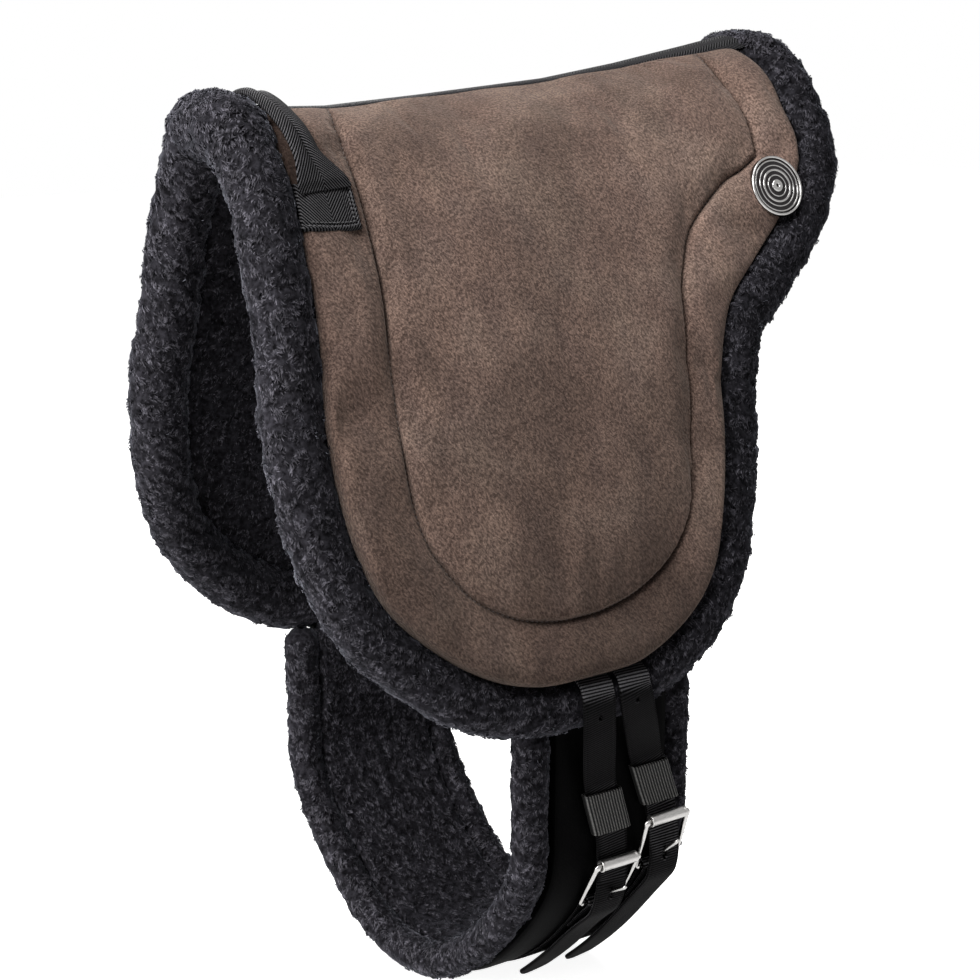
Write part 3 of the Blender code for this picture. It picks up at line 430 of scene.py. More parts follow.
strapLines = [StrapLine(side, rear) for side, _ in sides for rear in (0, 1)]


# finishes: each one is mixed on a tray, which holds its nodes and adds to them
class Tray:
    def __init__(self, tree):
        self.nodes, self.links = tree.nodes, tree.links

    def feed(self, socket, value):
        # value is a number, a colour or another node's output
        if isinstance(value, (int, float)):
            socket.default_value = value
        elif isinstance(value, tuple):
            socket.default_value = (*value, 1)
        else:
            self.links.new(value, socket)

    def split(self, vector):
        parts = self.nodes.new("ShaderNodeSeparateXYZ")
        self.links.new(vector, parts.inputs["Vector"])
        return parts.outputs

    def uvPlace(self, name):
        uvMap = self.nodes.new("ShaderNodeUVMap")
        uvMap.uv_map = name
        parts = self.split(uvMap.outputs["UV"])
        return parts["X"], parts["Y"]

    def noise(self, scale, detail=4.0, roughness=0.55, stretch=None, lean=0.0):
        vector = self.nodes.new("ShaderNodeTexCoord").outputs["Object"]
        noise = self.nodes.new("ShaderNodeTexNoise")
        for key, value in (("Scale", scale), ("Detail", detail), ("Roughness", roughness)):
            noise.inputs[key].default_value = value
        if stretch:
            for key, value in (("Rotation", (0, lean, 0)), ("Scale", stretch)):
                mapping = self.nodes.new("ShaderNodeMapping")
                mapping.inputs[key].default_value = value
                self.links.new(vector, mapping.inputs["Vector"])
                vector = mapping.outputs["Vector"]
        self.links.new(vector, noise.inputs["Vector"])
        return noise.outputs["Fac"]

    def ramp(self, value, *stops):
        # stops are places and colours, and a plain number is a grey
        ramp = self.nodes.new("ShaderNodeValToRGB")
        while len(ramp.color_ramp.elements) < len(stops):
            ramp.color_ramp.elements.new(0.5)
        for element, (place, colour) in zip(ramp.color_ramp.elements, stops):
            element.position = place
            element.color = (*(colour if isinstance(colour, tuple) else [colour] * 3), 1)
        self.links.new(value, ramp.inputs["Fac"])
        return ramp.outputs["Color"]

    def spread(self, value, low, high, start=0.0, end=1.0, kind="LINEAR"):
        # value from start to end becomes low to high
        spread = self.nodes.new("ShaderNodeMapRange")
        spread.interpolation_type = kind
        for key, number in (("From Min", start), ("From Max", end),
                            ("To Min", low), ("To Max", high)):
            spread.inputs[key].default_value = number
        self.links.new(value, spread.inputs["Value"])
        return spread.outputs["Result"]

    def mix(self, a, b, factor, blend="MIX"):
        mix = self.nodes.new("ShaderNodeMix")
        mix.data_type = "RGBA"
        mix.blend_type = blend
        for key, value in (("Factor", factor), (6, a), (7, b)):
            self.feed(mix.inputs[key], value)
        return mix.outputs[2]

    def layered(self, base, *layers):
        for layer in layers:
            base = self.mix(base, layer, 1.0, "MULTIPLY")
        return base

    def calc(self, kind, a, b=0.0):
        step = self.nodes.new("ShaderNodeMath")
        step.operation = kind
        self.feed(step.inputs[0], a)
        self.feed(step.inputs[1], b)
        return step.outputs["Value"]

    def times(self, a, b):
        return self.calc("MULTIPLY", a, b)

    def plus(self, a, b):
        return self.calc("ADD", a, b)

    def yarns(self, place, pitch):
        return self.calc("SINE", self.times(place, 2 * math.pi / pitch))

    def ribs(self, place, pitch):
        return self.calc("ABSOLUTE", self.calc("SINE", self.times(place, math.pi / pitch)))

    def bump(self, shader, *layers):
        # layers are heights and their depths in metres
        normal = None
        for height, depth in layers:
            bump = self.nodes.new("ShaderNodeBump")
            bump.inputs["Strength"].default_value = 1.0
            bump.inputs["Distance"].default_value = depth
            self.links.new(height, bump.inputs["Height"])
            if normal:
                self.links.new(normal, bump.inputs["Normal"])
            normal = bump.outputs["Normal"]
        self.links.new(normal, shader.inputs["Normal"])


def newMaterial(name, colour, roughness, metallic=0.0, sheen=0.0, sheenRoughness=0.5,
                sheenTint=(1, 1, 1), specular=0.5):
    material = bpy.data.materials.new(name)
    material.use_nodes = True
    shader = material.node_tree.nodes["Principled BSDF"]
    for key, value in (
            ("Base Color", (*colour, 1)), ("Roughness", roughness), ("Metallic", metallic),
            ("Sheen Weight", sheen), ("Sheen Roughness", sheenRoughness),
            ("Sheen Tint", (*sheenTint, 1)), ("Specular IOR Level", specular)):
        shader.inputs[key].default_value = value
    return material, Tray(material.node_tree), shader


suedeLook = {
    "dark": (0.070, 0.045, 0.037), "middle": (0.118, 0.080, 0.066),
    # the last two entries on the next line are the colour and the strength of the painted shade
    "light": (0.180, 0.135, 0.111), "inCrease": (0.010, 0.006, 0.005), "crease": 0.72,
    "sheen": 0.20, "sheenTint": (0.95, 0.80, 0.70), "wear": 0.40,
    "grain": 760, "lean": 0.6, "fine": 1500, "patch": 13, "brush": 48, "nap": 15,
    "grainDepth": 0.0010, "brushDepth": 0.0008,
    # painted light and shade: the suede is drawn darker low down and along the crest, and lighter
    # towards the haunch
    "lies": [("Z", (-0.47, -0.20), (0.50, 1.0)), ("X", (0.22, 0.46), (1.0, 1.62)),
             ("Z", (-0.07, 0.03), (1.0, 0.66))],
}


def makeSuede():
    look = suedeLook
    material, tray, shader = newMaterial("brownSuede", look["middle"], 0.95, sheen=look["sheen"],
                                         sheenTint=look["sheenTint"], specular=0.01)
    grain = tray.noise(look["grain"], 2.0, 0.5, (1.0, 1.0, 0.45), look["lean"])
    fine = tray.noise(look["fine"], 2.0, 0.5)
    patch = tray.noise(look["patch"], 5.0, 0.6)
    brush = tray.noise(look["brush"], 4.0, 0.65, (1.0, 1.0, 0.35))
    worn = tray.ramp(patch, (0.36, look["dark"]), (0.50, look["middle"]), (0.70, look["light"]))
    speckle = tray.ramp(grain, (0.37, (0.58, 0.57, 0.57)), (0.50, 1), (0.63, (1.46, 1.46, 1.44)))
    dots = tray.ramp(fine, (0.38, (0.76, 0.75, 0.75)), (0.62, (1.24, 1.25, 1.25)))
    # brushed one way here and the other way there, with a fairly clear border between
    nap = tray.ramp(tray.noise(look["nap"], 2.0, 0.45, (1.0, 1.0, 0.7)),
                    (0.47, 0.90), (0.53, (1.09, 1.08, 1.08)))
    swept = tray.ramp(brush, (0.36, (0.86, 0.86, 0.87)), (0.64, (1.14, 1.13, 1.10)))
    base = tray.mix(look["middle"], worn, look["wear"])
    place = tray.split(tray.nodes.new("ShaderNodeTexCoord").outputs["Object"])
    # painted light and shade by place, from the table's last entry
    lies = [tray.spread(place[axis], *change, *reach, "SMOOTHSTEP")
            for axis, reach, change in look["lies"]]
    base = tray.layered(base, swept, nap, speckle, dots, *lies)
    # painted shade: the cover's attribute draws the suede towards the shade colour in the seams,
    # along the edges and beside the grab strap
    crease = tray.nodes.new("ShaderNodeAttribute")
    crease.attribute_name = "crease"
    shade = tray.times(crease.outputs["Fac"], look["crease"])
    tray.feed(shader.inputs["Base Color"], tray.mix(base, look["inCrease"], shade))
    tray.bump(shader, (grain, look["grainDepth"]), (brush, look["brushDepth"]))
    return material


fleeceLook = {
    "root": (0.0026, 0.0024, 0.0029), "middle": (0.022, 0.021, 0.0245),
    "tip": (0.084, 0.080, 0.091), "middleAt": 0.45, "sheen": 0.20, "sheenTint": (0.80, 0.82, 0.95),
    "sheenRoughness": 0.32, "clump": 260, "wave": 75, "clumpDepth": 0.0010,
}


def makeFleece(name, lift=1.0):
    look = fleeceLook
    material, tray, shader = newMaterial(
        name, look["middle"], 0.85, sheen=look["sheen"], sheenRoughness=look["sheenRoughness"],
        sheenTint=look["sheenTint"], specular=0.01)
    # a chance number for each strand, and the place up it
    chance, upStrand = tray.uvPlace("pileMap")
    clump = tray.noise(look["clump"], 3.0, 0.6)
    root, middle, tip = (tuple(value * lift for value in look[key])
                         for key in ("root", "middle", "tip"))
    # painted shade deep in the pile: each strand is drawn near black at its root and lighter up to
    # its tip
    colour = tray.ramp(upStrand, (0.0, root), (look["middleAt"], middle), (1.0, tip))
    own = tray.ramp(chance, (0.0, 0.72), (0.7, 1.05), (1.0, 1.35))
    tuft = tray.ramp(clump, (0.36, 0.36), (0.64, (1.75, 1.75, 1.76)))
    wave = tray.ramp(tray.noise(look["wave"], 3.0, 0.6), (0.36, 0.72), (0.64, (1.30, 1.30, 1.32)))
    tray.feed(shader.inputs["Base Color"], tray.layered(colour, own, wave, tuft))
    tray.bump(shader, (clump, look["clumpDepth"]))
    return material


webbingLook = {
    "dark": (0.0008, 0.0008, 0.0009), "light": (0.040, 0.039, 0.041), "roughness": 0.55,
    "twillPitch": 0.0026, "panel": 0.0052, "widePanel": 0.03, "slant": 1.25, "twillYarn": 0.0009,
    "ribPitch": 0.0021, "ribYarn": 0.0012, "canvasYarn": 0.0011, "canvasPick": 0.0010,
    "fuzz": 1500, "fuzzDepth": 0.0001,
    # for each weave: its share of the light colour, where the dark ends, and its depth
    "weaves": {"herringbone": (1.6, 0.45, 0.00045), "twill": (2.1, 0.34, 0.00045),
               "ribbed": (0.85, 0.45, 0.0005), "canvas": (0.03, 0.15, 0.00022)},
}


def makeWebbing(name, kind):
    look = webbingLook
    share, low, depth = look["weaves"][kind]
    material, tray, shader = newMaterial(name, look["light"], look["roughness"], specular=0.01)
    across, along = tray.uvPlace("strapMap")  # both in metres
    if kind in ("herringbone", "twill"):
        # the twill turns back at every panel, which makes the V pattern
        panel = look["panel" if kind == "herringbone" else "widePanel"]
        fold = tray.calc("PINGPONG", across, panel)
        twill = tray.yarns(tray.plus(along, tray.times(fold, look["slant"])), look["twillPitch"])
        yarn = tray.yarns(across, look["twillYarn"])
        height = tray.plus(tray.plus(tray.times(twill, 0.38), tray.times(yarn, 0.12)), 0.5)
    elif kind == "ribbed":
        rib = tray.ribs(along, look["ribPitch"])
        height = tray.plus(tray.times(tray.yarns(across, look["ribYarn"]), 0.10), rib)
    else:
        yarn = tray.yarns(across, look["canvasYarn"])
        pick = tray.yarns(along, look["canvasPick"])
        height = tray.plus(tray.plus(tray.times(yarn, 0.3), tray.times(pick, 0.2)), 0.5)
    fuzz = tray.noise(look["fuzz"], 2.0)
    light = tuple(value * share for value in look["light"])
    # painted shade in the weave's hollows: the colour runs from near black where the weave lies low
    # to the light colour on its raised yarns
    layers = [tray.ramp(height, (low, look["dark"]), (0.98, light))]
    if kind == "ribbed":
        # painted highlight and shade: the ribs are drawn lighter where the strap turns its face
        # upwards over the roll, darker where it faces sideways or down
        facing = tray.split(tray.nodes.new("ShaderNodeNewGeometry").outputs["Normal"])
        layers.append(tray.ramp(facing["Z"], (0.0, 0.35), (0.24, 3.0)))
    layers.append(tray.ramp(fuzz, (0.3, 0.7), (0.7, 1.3)))
    tray.feed(shader.inputs["Base Color"], tray.layered(*layers))
    tray.bump(shader, (height, depth), (fuzz, look["fuzzDepth"]))
    return material


# ribbed elastic: the keepers' rib relief and its finish
keeper = {
    "ribs": 7, "ribDepth": 0.0006, "rows": 66, "around": 64, "square": 0.0002, "thread": 0.0011,
    "mapWidth": 0.01705, "endLength": 0.0012, "endRound": 0.0005,
    "colour": (0.05, 0.05, 0.05), "roughness": 0.7, "specular": 0.08, "fuzz": 1300, "depth": 0.0003,
    # the next entry runs from painted shade in the ribs' grooves to a painted highlight on their
    # crests
    "shades": [(0.15, (0.0015, 0.0015, 0.0015)), (0.64, (0.008, 0.008, 0.008)),
               (0.97, (0.200, 0.197, 0.190))],
}


def makeElastic():
    material, tray, shader = newMaterial("ribbedElastic", keeper["colour"], keeper["roughness"],
                                         specular=keeper["specular"])
    across, along = tray.uvPlace("strapMap")
    rib = tray.calc("POWER", tray.ribs(across, keeper["mapWidth"] / keeper["ribs"]), 0.8)
    pick = tray.ribs(along, keeper["thread"])
    height = tray.times(rib, tray.plus(tray.times(pick, 0.45), 0.55))
    fuzz = tray.noise(keeper["fuzz"], 2.0)
    # painted shade in the grooves between the ribs and a painted highlight on their crests
    tray.feed(shader.inputs["Base Color"], tray.layered(
        tray.ramp(height, *keeper["shades"]), tray.ramp(fuzz, (0.3, 0.7), (0.7, 1.3))))
    tray.bump(shader, (height, keeper["depth"]))
    return material


steelLook = {"colour": (0.34, 0.333, 0.325), "scuffed": (0.26, 0.255, 0.25),
             "bright": (0.40, 0.39, 0.38), "scuff": 420, "depth": 0.00004, "uneven": (0.6, 1.7),
             "polished": 0.16, "brushed": 0.30}


def makeSteel(name, roughness):
    material, tray, shader = newMaterial(name, steelLook["colour"], roughness, metallic=1.0)
    scuff = tray.noise(steelLook["scuff"], 4.0, 0.65, (1.0, 1.0, 6.0))
    tray.feed(shader.inputs["Roughness"],
              tray.spread(scuff, *(roughness * share for share in steelLook["uneven"])))
    tint = tray.ramp(scuff, (0.3, steelLook["scuffed"]), (0.65, steelLook["bright"]))
    tray.feed(shader.inputs["Base Color"], tint)
    tray.bump(shader, (scuff, steelLook["depth"]))
    return material


threadLook = {"brown": (0.045, 0.028, 0.022), "black": (0.030, 0.029, 0.031), "twist": 2600,
              "contrast": 0.5, "depth": 0.0001}


def makeThread(name, colour):
    material, tray, shader = newMaterial(name, colour, 0.6, sheen=0.2)
    twist = tray.noise(threadLook["twist"], 2.0, 0.5, (1.0, 1.0, 0.4))
    dark, light = (tuple(value * share for value in colour)
                   for share in (1 - threadLook["contrast"], 1 + threadLook["contrast"]))
    tray.feed(shader.inputs["Base Color"], tray.ramp(twist, (0.3, dark), (0.7, light)))
    tray.bump(shader, (twist, threadLook["depth"]))
    return material


enamelLook = {"colour": (0.018, 0.016, 0.017), "dark": (0.013, 0.012, 0.012),
              "light": (0.026, 0.023, 0.024), "roughness": (0.2, 0.42), "specular": 0.12,
              "speck": 1200, "depth": 0.00003}


def makeEnamel():
    look = enamelLook
    material, tray, shader = newMaterial("darkEnamel", look["colour"], 0.28,
                                         specular=look["specular"])
    speck = tray.noise(look["speck"], 3.0)
    tray.feed(shader.inputs["Roughness"], tray.spread(speck, *look["roughness"]))
    tint = tray.ramp(speck, (0.3, look["dark"]), (0.7, look["light"]))
    tray.feed(shader.inputs["Base Color"], tint)
    tray.bump(shader, (speck, look["depth"]))
    return material


print("mixing the materials")
suede = makeSuede()
fleece = makeFleece("blackFleece")
# the lining is the same fleece drawn at 0.8 of its brightness: painted shade under the flaps
liningFleece = makeFleece("liningFleece", 0.8)
herringbone = makeWebbing("herringboneWebbing", "herringbone")
ribbedWebbing = makeWebbing("ribbedWebbing", "ribbed")
twillWebbing = makeWebbing("twillWebbing", "twill")
canvas = makeWebbing("girthCanvas", "canvas")
elastic = makeElastic()
polishedSteel = makeSteel("polishedSteel", steelLook["polished"])
brushedSteel = makeSteel("brushedSteel", steelLook["brushed"])
brownThread = makeThread("brownThread", threadLook["brown"])
blackThread = makeThread("blackThread", threadLook["black"])
enamel = makeEnamel()


# suede covers, quilted over the foam; the swelling is their cloth simulation
swelling = {"pressure": 4.0, "mass": 0.3, "stiffness": 15, "bending": 0.5, "spare": 0.015,
            "most": 0.0035, "frames": 20, "quality": 6}
cover = {
    # the last two entries on the next line give how far the painted shade reaches from the seam and
    # from the edge
    "seamDepth": 0.0042, "seamWidth": 0.0017, "creaseWidth": 0.0013, "edgeCrease": 0.0055,
    "borderCrown": 0.0020, "panelCrown": 0.0034, "crownReach": 0.0126, "spineFade": 0.022,
    "turnUnder": 0.004, "edgeRound": 0.0085, "drift": 0.0009, "driftLength": 0.075, "calm": 0.02,
    "pucker": 0.00035, "puckerLength": 0.011, "puckerFrom": 0.004, "puckerReach": 0.00002,
    "stitchPitch": 0.0040, "stitchLength": 0.0029, "stitchThick": 0.00045,
    "borderRows": [0.0, 0.0008, 0.0018, 0.0032, 0.0052, 0.0080], "betweenRows": 7,
    "seamRows": [0.0006, 0.0012, 0.0019, 0.0028, 0.0042, 0.0065, 0.0095],
    # the last two entries on the next line give how dark the painted shade is drawn in the seam and
    # along the edge
    "fanRows": 36, "fanBend": 0.85, "creaseDark": 0.95, "edgeDark": 0.85,
    # painted shadow of the grab strap on the suede between the roll and the strap: how far back and
    # how far down
    "rubbed": ((0.040, 0.010), (0.080, 0.015)),
}


def coverGrid():
    # flat places, row by row, from the suede's edge over the seam up to the spine, and how far
    # each one is from the edge and from the seam
    toSeam, toTop = (np.linalg.norm(way, axis=1) for way in (seam - edge, top - seam))
    inward, upward = unit(seam - edge), unit(top - seam)
    row, close = np.ones(len(edge)), cover["seamRows"]
    low, high = cover["borderRows"][-1], toSeam - close[-1]
    border = [row * inset for inset in cover["borderRows"]] + [
        low + (high - low) * share
        for share in np.linspace(0, 1, cover["betweenRows"] + 2)[1:-1]]
    before = [row * -back for back in (*close[::-1], 0.0)]
    beyond = [row * on for on in close] + [
        close[-1] + (toTop - close[-1]) * share
        for share in (np.linspace(0, 1, cover["fanRows"]) ** cover["fanBend"])[1:]]
    flat = np.array([edge + inward * inset[:, None] for inset in border]
                    + [seam + inward * on[:, None] for on in before]
                    + [seam + upward * on[:, None] for on in beyond])
    for end in (0, -1):
        flat[:, end, 1] = spineHalf(flat[:, end, 0]) + pad["gap"]
    fromSeam = np.array([inset - toSeam for inset in border] + before + beyond)
    return flat, np.array(border + [toSeam + on for on in before + beyond]), fromSeam


coverFlat, coverInset, coverFromSeam = coverGrid()


def coverHeight(flat, inset, fromSeam, share):
    edgeHeight = rollTop(flat[..., 1], share, 0) + pad["gap"] + pad["suedeThick"]
    far = np.abs(fromSeam)
    puff = 1 - np.exp(-far / cover["crownReach"])
    crown = np.where(fromSeam < 0, cover["borderCrown"] * np.minimum(1, puff * 1.25),
                     cover["panelCrown"] * puff)
    valley = cover["seamDepth"] * np.exp(-(far / cover["seamWidth"]) ** 1.25)
    beside = flat[..., 1] - spineHalf(flat[..., 0]) - pad["gap"]
    spineFade = smoothstep(beside / cover["spineFade"])
    height = pad["suedeHeight"] + (crown - valley) * spineFade
    # small puckers drawn in by the stitches, on both sides of the seam
    run = runAlong(seam)
    ripple = np.sin(run * 2 * math.pi / cover["puckerLength"]) \
        + 0.6 * np.sin(run * 2 * math.pi / (cover["puckerLength"] * 0.62) + 1.0)
    drawnIn = np.exp(-(far - cover["puckerFrom"]) ** 2 / cover["puckerReach"])
    height = height + cover["pucker"] * ripple * drawnIn * spineFade
    rounded = np.sqrt(np.clip(1 - (1 - np.clip(inset / cover["edgeRound"], 0, 1)) ** 2, 0, 1))
    return edgeHeight + (height - edgeHeight) * rounded


def swollen(points, normals, word):
    # the cover as a sheet of cloth, sewn down along its lines and pressed out by the foam;
    # gives how far each point of the fine grid has moved outwards
    seamRow = len(cover["borderRows"]) + cover["betweenRows"] + len(cover["seamRows"])
    rows = np.unique([0, 3, 5, 7, 9, 11, 13, 16, seamRow, 24, *range(27, len(points)),
                      len(points) - 1])
    columns = np.unique([*range(0, points.shape[1], 4), points.shape[1] - 1])
    coarse = points[np.ix_(rows, columns)]
    sheet = addGrid(word + "ClothSheet", coarse, suede, flip=word == "off")
    index = np.arange(coarse.shape[0] * coarse.shape[1]).reshape(coarse.shape[:2])
    sewn = sheet.vertex_groups.new(name="sewn")
    held = [index[0], index[list(rows).index(seamRow)], index[-1], index[:, 0], index[:, -1]]
    sewn.add([int(k) for k in np.unique(np.concatenate(held))], 1.0, "ADD")
    cloth = sheet.modifiers.new("swelling", "CLOTH")
    settings = cloth.settings
    settings.quality = swelling["quality"]
    settings.mass = swelling["mass"]
    settings.tension_stiffness = settings.compression_stiffness = swelling["stiffness"]
    settings.bending_stiffness = swelling["bending"]
    settings.shrink_min = -swelling["spare"]
    settings.use_pressure = True
    settings.uniform_pressure_force = swelling["pressure"]
    settings.vertex_group_mass = "sewn"
    settings.effector_weights.gravity = 0
    cloth.point_cache.frame_start, cloth.point_cache.frame_end = 1, swelling["frames"]
    for step in range(1, swelling["frames"] + 1):
        scene.frame_set(step)
    moved = sheet.evaluated_get(bpy.context.evaluated_depsgraph_get()).to_mesh()
    after = np.empty(len(moved.vertices) * 3)
    moved.vertices.foreach_get("co", after)
    scene.frame_set(1)
    bpy.data.objects.remove(sheet)
    out = ((after.reshape(coarse.shape) - coarse) * normals[np.ix_(rows, columns)]).sum(-1)
    out = swelling["most"] * np.tanh(out / swelling["most"])
    print("  the", word, "cover swells by", round(float(out.max()) * 1000, 1), "mm at most and",
          round(float(out.mean()) * 1000, 1), "mm in the mean")
    byRow = readAlong(np.arange(len(points)), rows, out)
    return readAlong(np.arange(points.shape[1]), columns, byRow.T).T


def makeCover(side, word):
    height = coverHeight(coverFlat, coverInset, coverFromSeam, columnShare)
    places = np.stack([coverFlat[..., 0], coverFlat[..., 1], coverFlat[..., 0] * 0], -1)
    drift = waves(places.reshape(-1, 3), cover["driftLength"], 5 if side == near else 6)
    calm = smoothstep(coverInset / cover["calm"]) \
        * np.minimum(1, np.abs(coverFromSeam) / cover["calm"] + 0.15)
    height = height + cover["drift"] * drift.reshape(height.shape) * calm
    height = height + swollen(*onFlap(coverFlat[..., 0], coverFlat[..., 1], height, side), word)
    # a hidden strip is turned under all round
    flat = np.pad(coverFlat, ((1, 1), (1, 1), (0, 0)), mode="edge")
    height = np.pad(height, 1, mode="edge")
    height[0] -= pad["suedeThick"]
    flat[-1, :, 1] -= cover["turnUnder"]
    height[-1] -= pad["suedeThick"] * 0.8
    flat[:, (0, -1), 1] -= cover["turnUnder"]
    height[:, (0, -1)] -= pad["suedeThick"] * 0.8
    points, _ = onFlap(flat[..., 0], flat[..., 1], height, side)
    piece = addGrid(word + "SuedeCover", points, suede, flip=side == off)
    # painted shade on the suede: in the seam, along its edge, and the grab strap's painted shadow
    depth = np.maximum(
        cover["creaseDark"] * np.exp(-(np.abs(coverFromSeam) / cover["creaseWidth"]) ** 1.5),
        cover["edgeDark"] * np.exp(-coverInset / cover["edgeCrease"]))
    # the grab strap's painted shadow, near the front close to the spine
    rubbed = math.prod(smoothstep((reach - coverFlat[..., k]) / fade)
                       for k, (reach, fade) in enumerate(cover["rubbed"]))
    depth = np.pad(np.maximum(depth, rubbed), 1, mode="edge")
    crease = piece.data.attributes.new("crease", "FLOAT", "POINT")
    crease.data.foreach_set("value", depth.ravel().astype(np.float32))
    onPad(piece, "suede", word + "_suede_cover", word + "_foam_core")


# a stitch: places along it, how high it stands and how thick it is, as shares of its thickness
stitch = {"along": (0, 0.18, 0.5, 0.82, 1.0), "rise": (-0.9, 0.35, 0.75, 0.35, -0.9),
          "size": (0.45, 0.9, 1.0, 0.9, 0.45), "around": 6, "start": 0.3}


def stitchRow(points, normals, pitch, length, thick):
    # short rounded stitches laid along a line of points
    run = runAlong(points)
    turn = fullTurn(stitch["around"])
    rise, size = (thick * np.array(stitch[key])[:, None] for key in ("rise", "size"))
    allPoints, allFaces = [], []
    for start in np.arange(pitch * stitch["start"], run[-1] - length, pitch):
        at = start + length * np.array(stitch["along"])
        middle = readAlong(at, run, points)
        up = unit(readAlong(at, run, normals))
        beside = unit(np.cross(up, unit(np.gradient(middle, axis=0))))
        rows = middle[:, None] + up[:, None] * (rise + size * np.sin(turn))[..., None] \
            + beside[:, None] * (size * np.cos(turn))[..., None]
        corners, faces, ends = capped(rows)
        first = len(allPoints) * len(corners)
        allPoints.append(corners)
        allFaces += [[first + corner for corner in face] for face in faces.tolist() + ends]
    return np.vstack(allPoints), allFaces


def makeSeamStitches(side, word):
    toSeam = np.linalg.norm(seam - edge, axis=1)
    height = coverHeight(seam, toSeam, np.zeros(len(seam)), columnShare)
    points, normals = onFlap(seam[:, 0], seam[:, 1], height, side)
    points, faces = stitchRow(points, normals, cover["stitchPitch"], cover["stitchLength"],
                              cover["stitchThick"])
    onPad(addPiece(word + "SeamStitches", points, faces, brownThread, flip=side == off), "suede")


print("quilting the suede covers")
for side, word in sides:
    makeCover(side, word)
    makeSeamStitches(side, word)


# fleece pressed flat where a strap lies on it
press = {"steps": 90, "turnAt": 0.75, "box": 0.02, "beside": 0.0008, "fade": 0.004,
         "under": 0.011, "over": 0.016, "along": 0.006, "sink": 0.0007, "flat": 0.85}


def pressedUnder(line, path, thick):
    dense = evenPoints(spline(path), press["steps"])
    forward = tangents(dense)
    straight = np.linspace(0, 1, press["steps"] + 1)[:, None] < press["turnAt"]
    across = unit(np.where(straight, (1.0, 0, 0), line.across))
    across = squareTo(forward, across)
    out = np.cross(forward, across)
    outward = onFlap(line.bar[0], 0.30, 0, line.side)[1]
    out = out * np.sign((out * outward).sum(1, keepdims=True))
    return dense, across, out, thick / 2


presses = [pressedUnder(line, line.billetPath(), strap["billetThick"]) for line in strapLines]


def pressFleece(points):
    # points moved under the straps, and how free each one stays, 0 pressed to 1 free
    points = points.copy()
    free = np.ones(len(points))
    for dense, across, out, half in presses:
        low, high = dense.min(0) - press["box"], dense.max(0) + press["box"]
        close = np.flatnonzero(((points > low) & (points < high)).all(1))
        if not len(close):
            continue
        for part in np.array_split(close, max(1, len(close) // 20000)):
            away = points[part][:, None] - dense[None]
            nearest = (away ** 2).sum(2).argmin(1)
            away = away[np.arange(len(part)), nearest]
            aside = (away * across[nearest]).sum(1)
            high = (away * out[nearest]).sum(1)
            along = np.linalg.norm(away - across[nearest] * aside[:, None]
                                   - out[nearest] * high[:, None], axis=1)
            beside = 1 - smoothstep((np.abs(aside) - strap["width"] / 2 - press["beside"])
                                    / press["fade"])
            grip = beside * (high > -press["under"]) * (high < press["over"]) \
                * (along < press["along"])
            sink = np.maximum(0, high + half + press["sink"]) * grip
            points[part] -= out[nearest] * sink[:, None]
            free[part] = np.minimum(free[part], 1 - press["flat"] * grip)
    return points, free


# fleece: a clumped skin with short pile standing on it
pile = {"width": 0.0012, "clump": 0.010, "upright": 0.36, "sink": 0.25, "tuft": 0.75, "stray": 0.14,
        "curlUp": -0.10, "curlStray": 0.18, "round": 0.80, "waist": 0.65, "curl": 0.60,
        "twist": 0.35, "short": 0.6, "tall": 1.2, "brushed": 0.25, "perPiece": 90000}


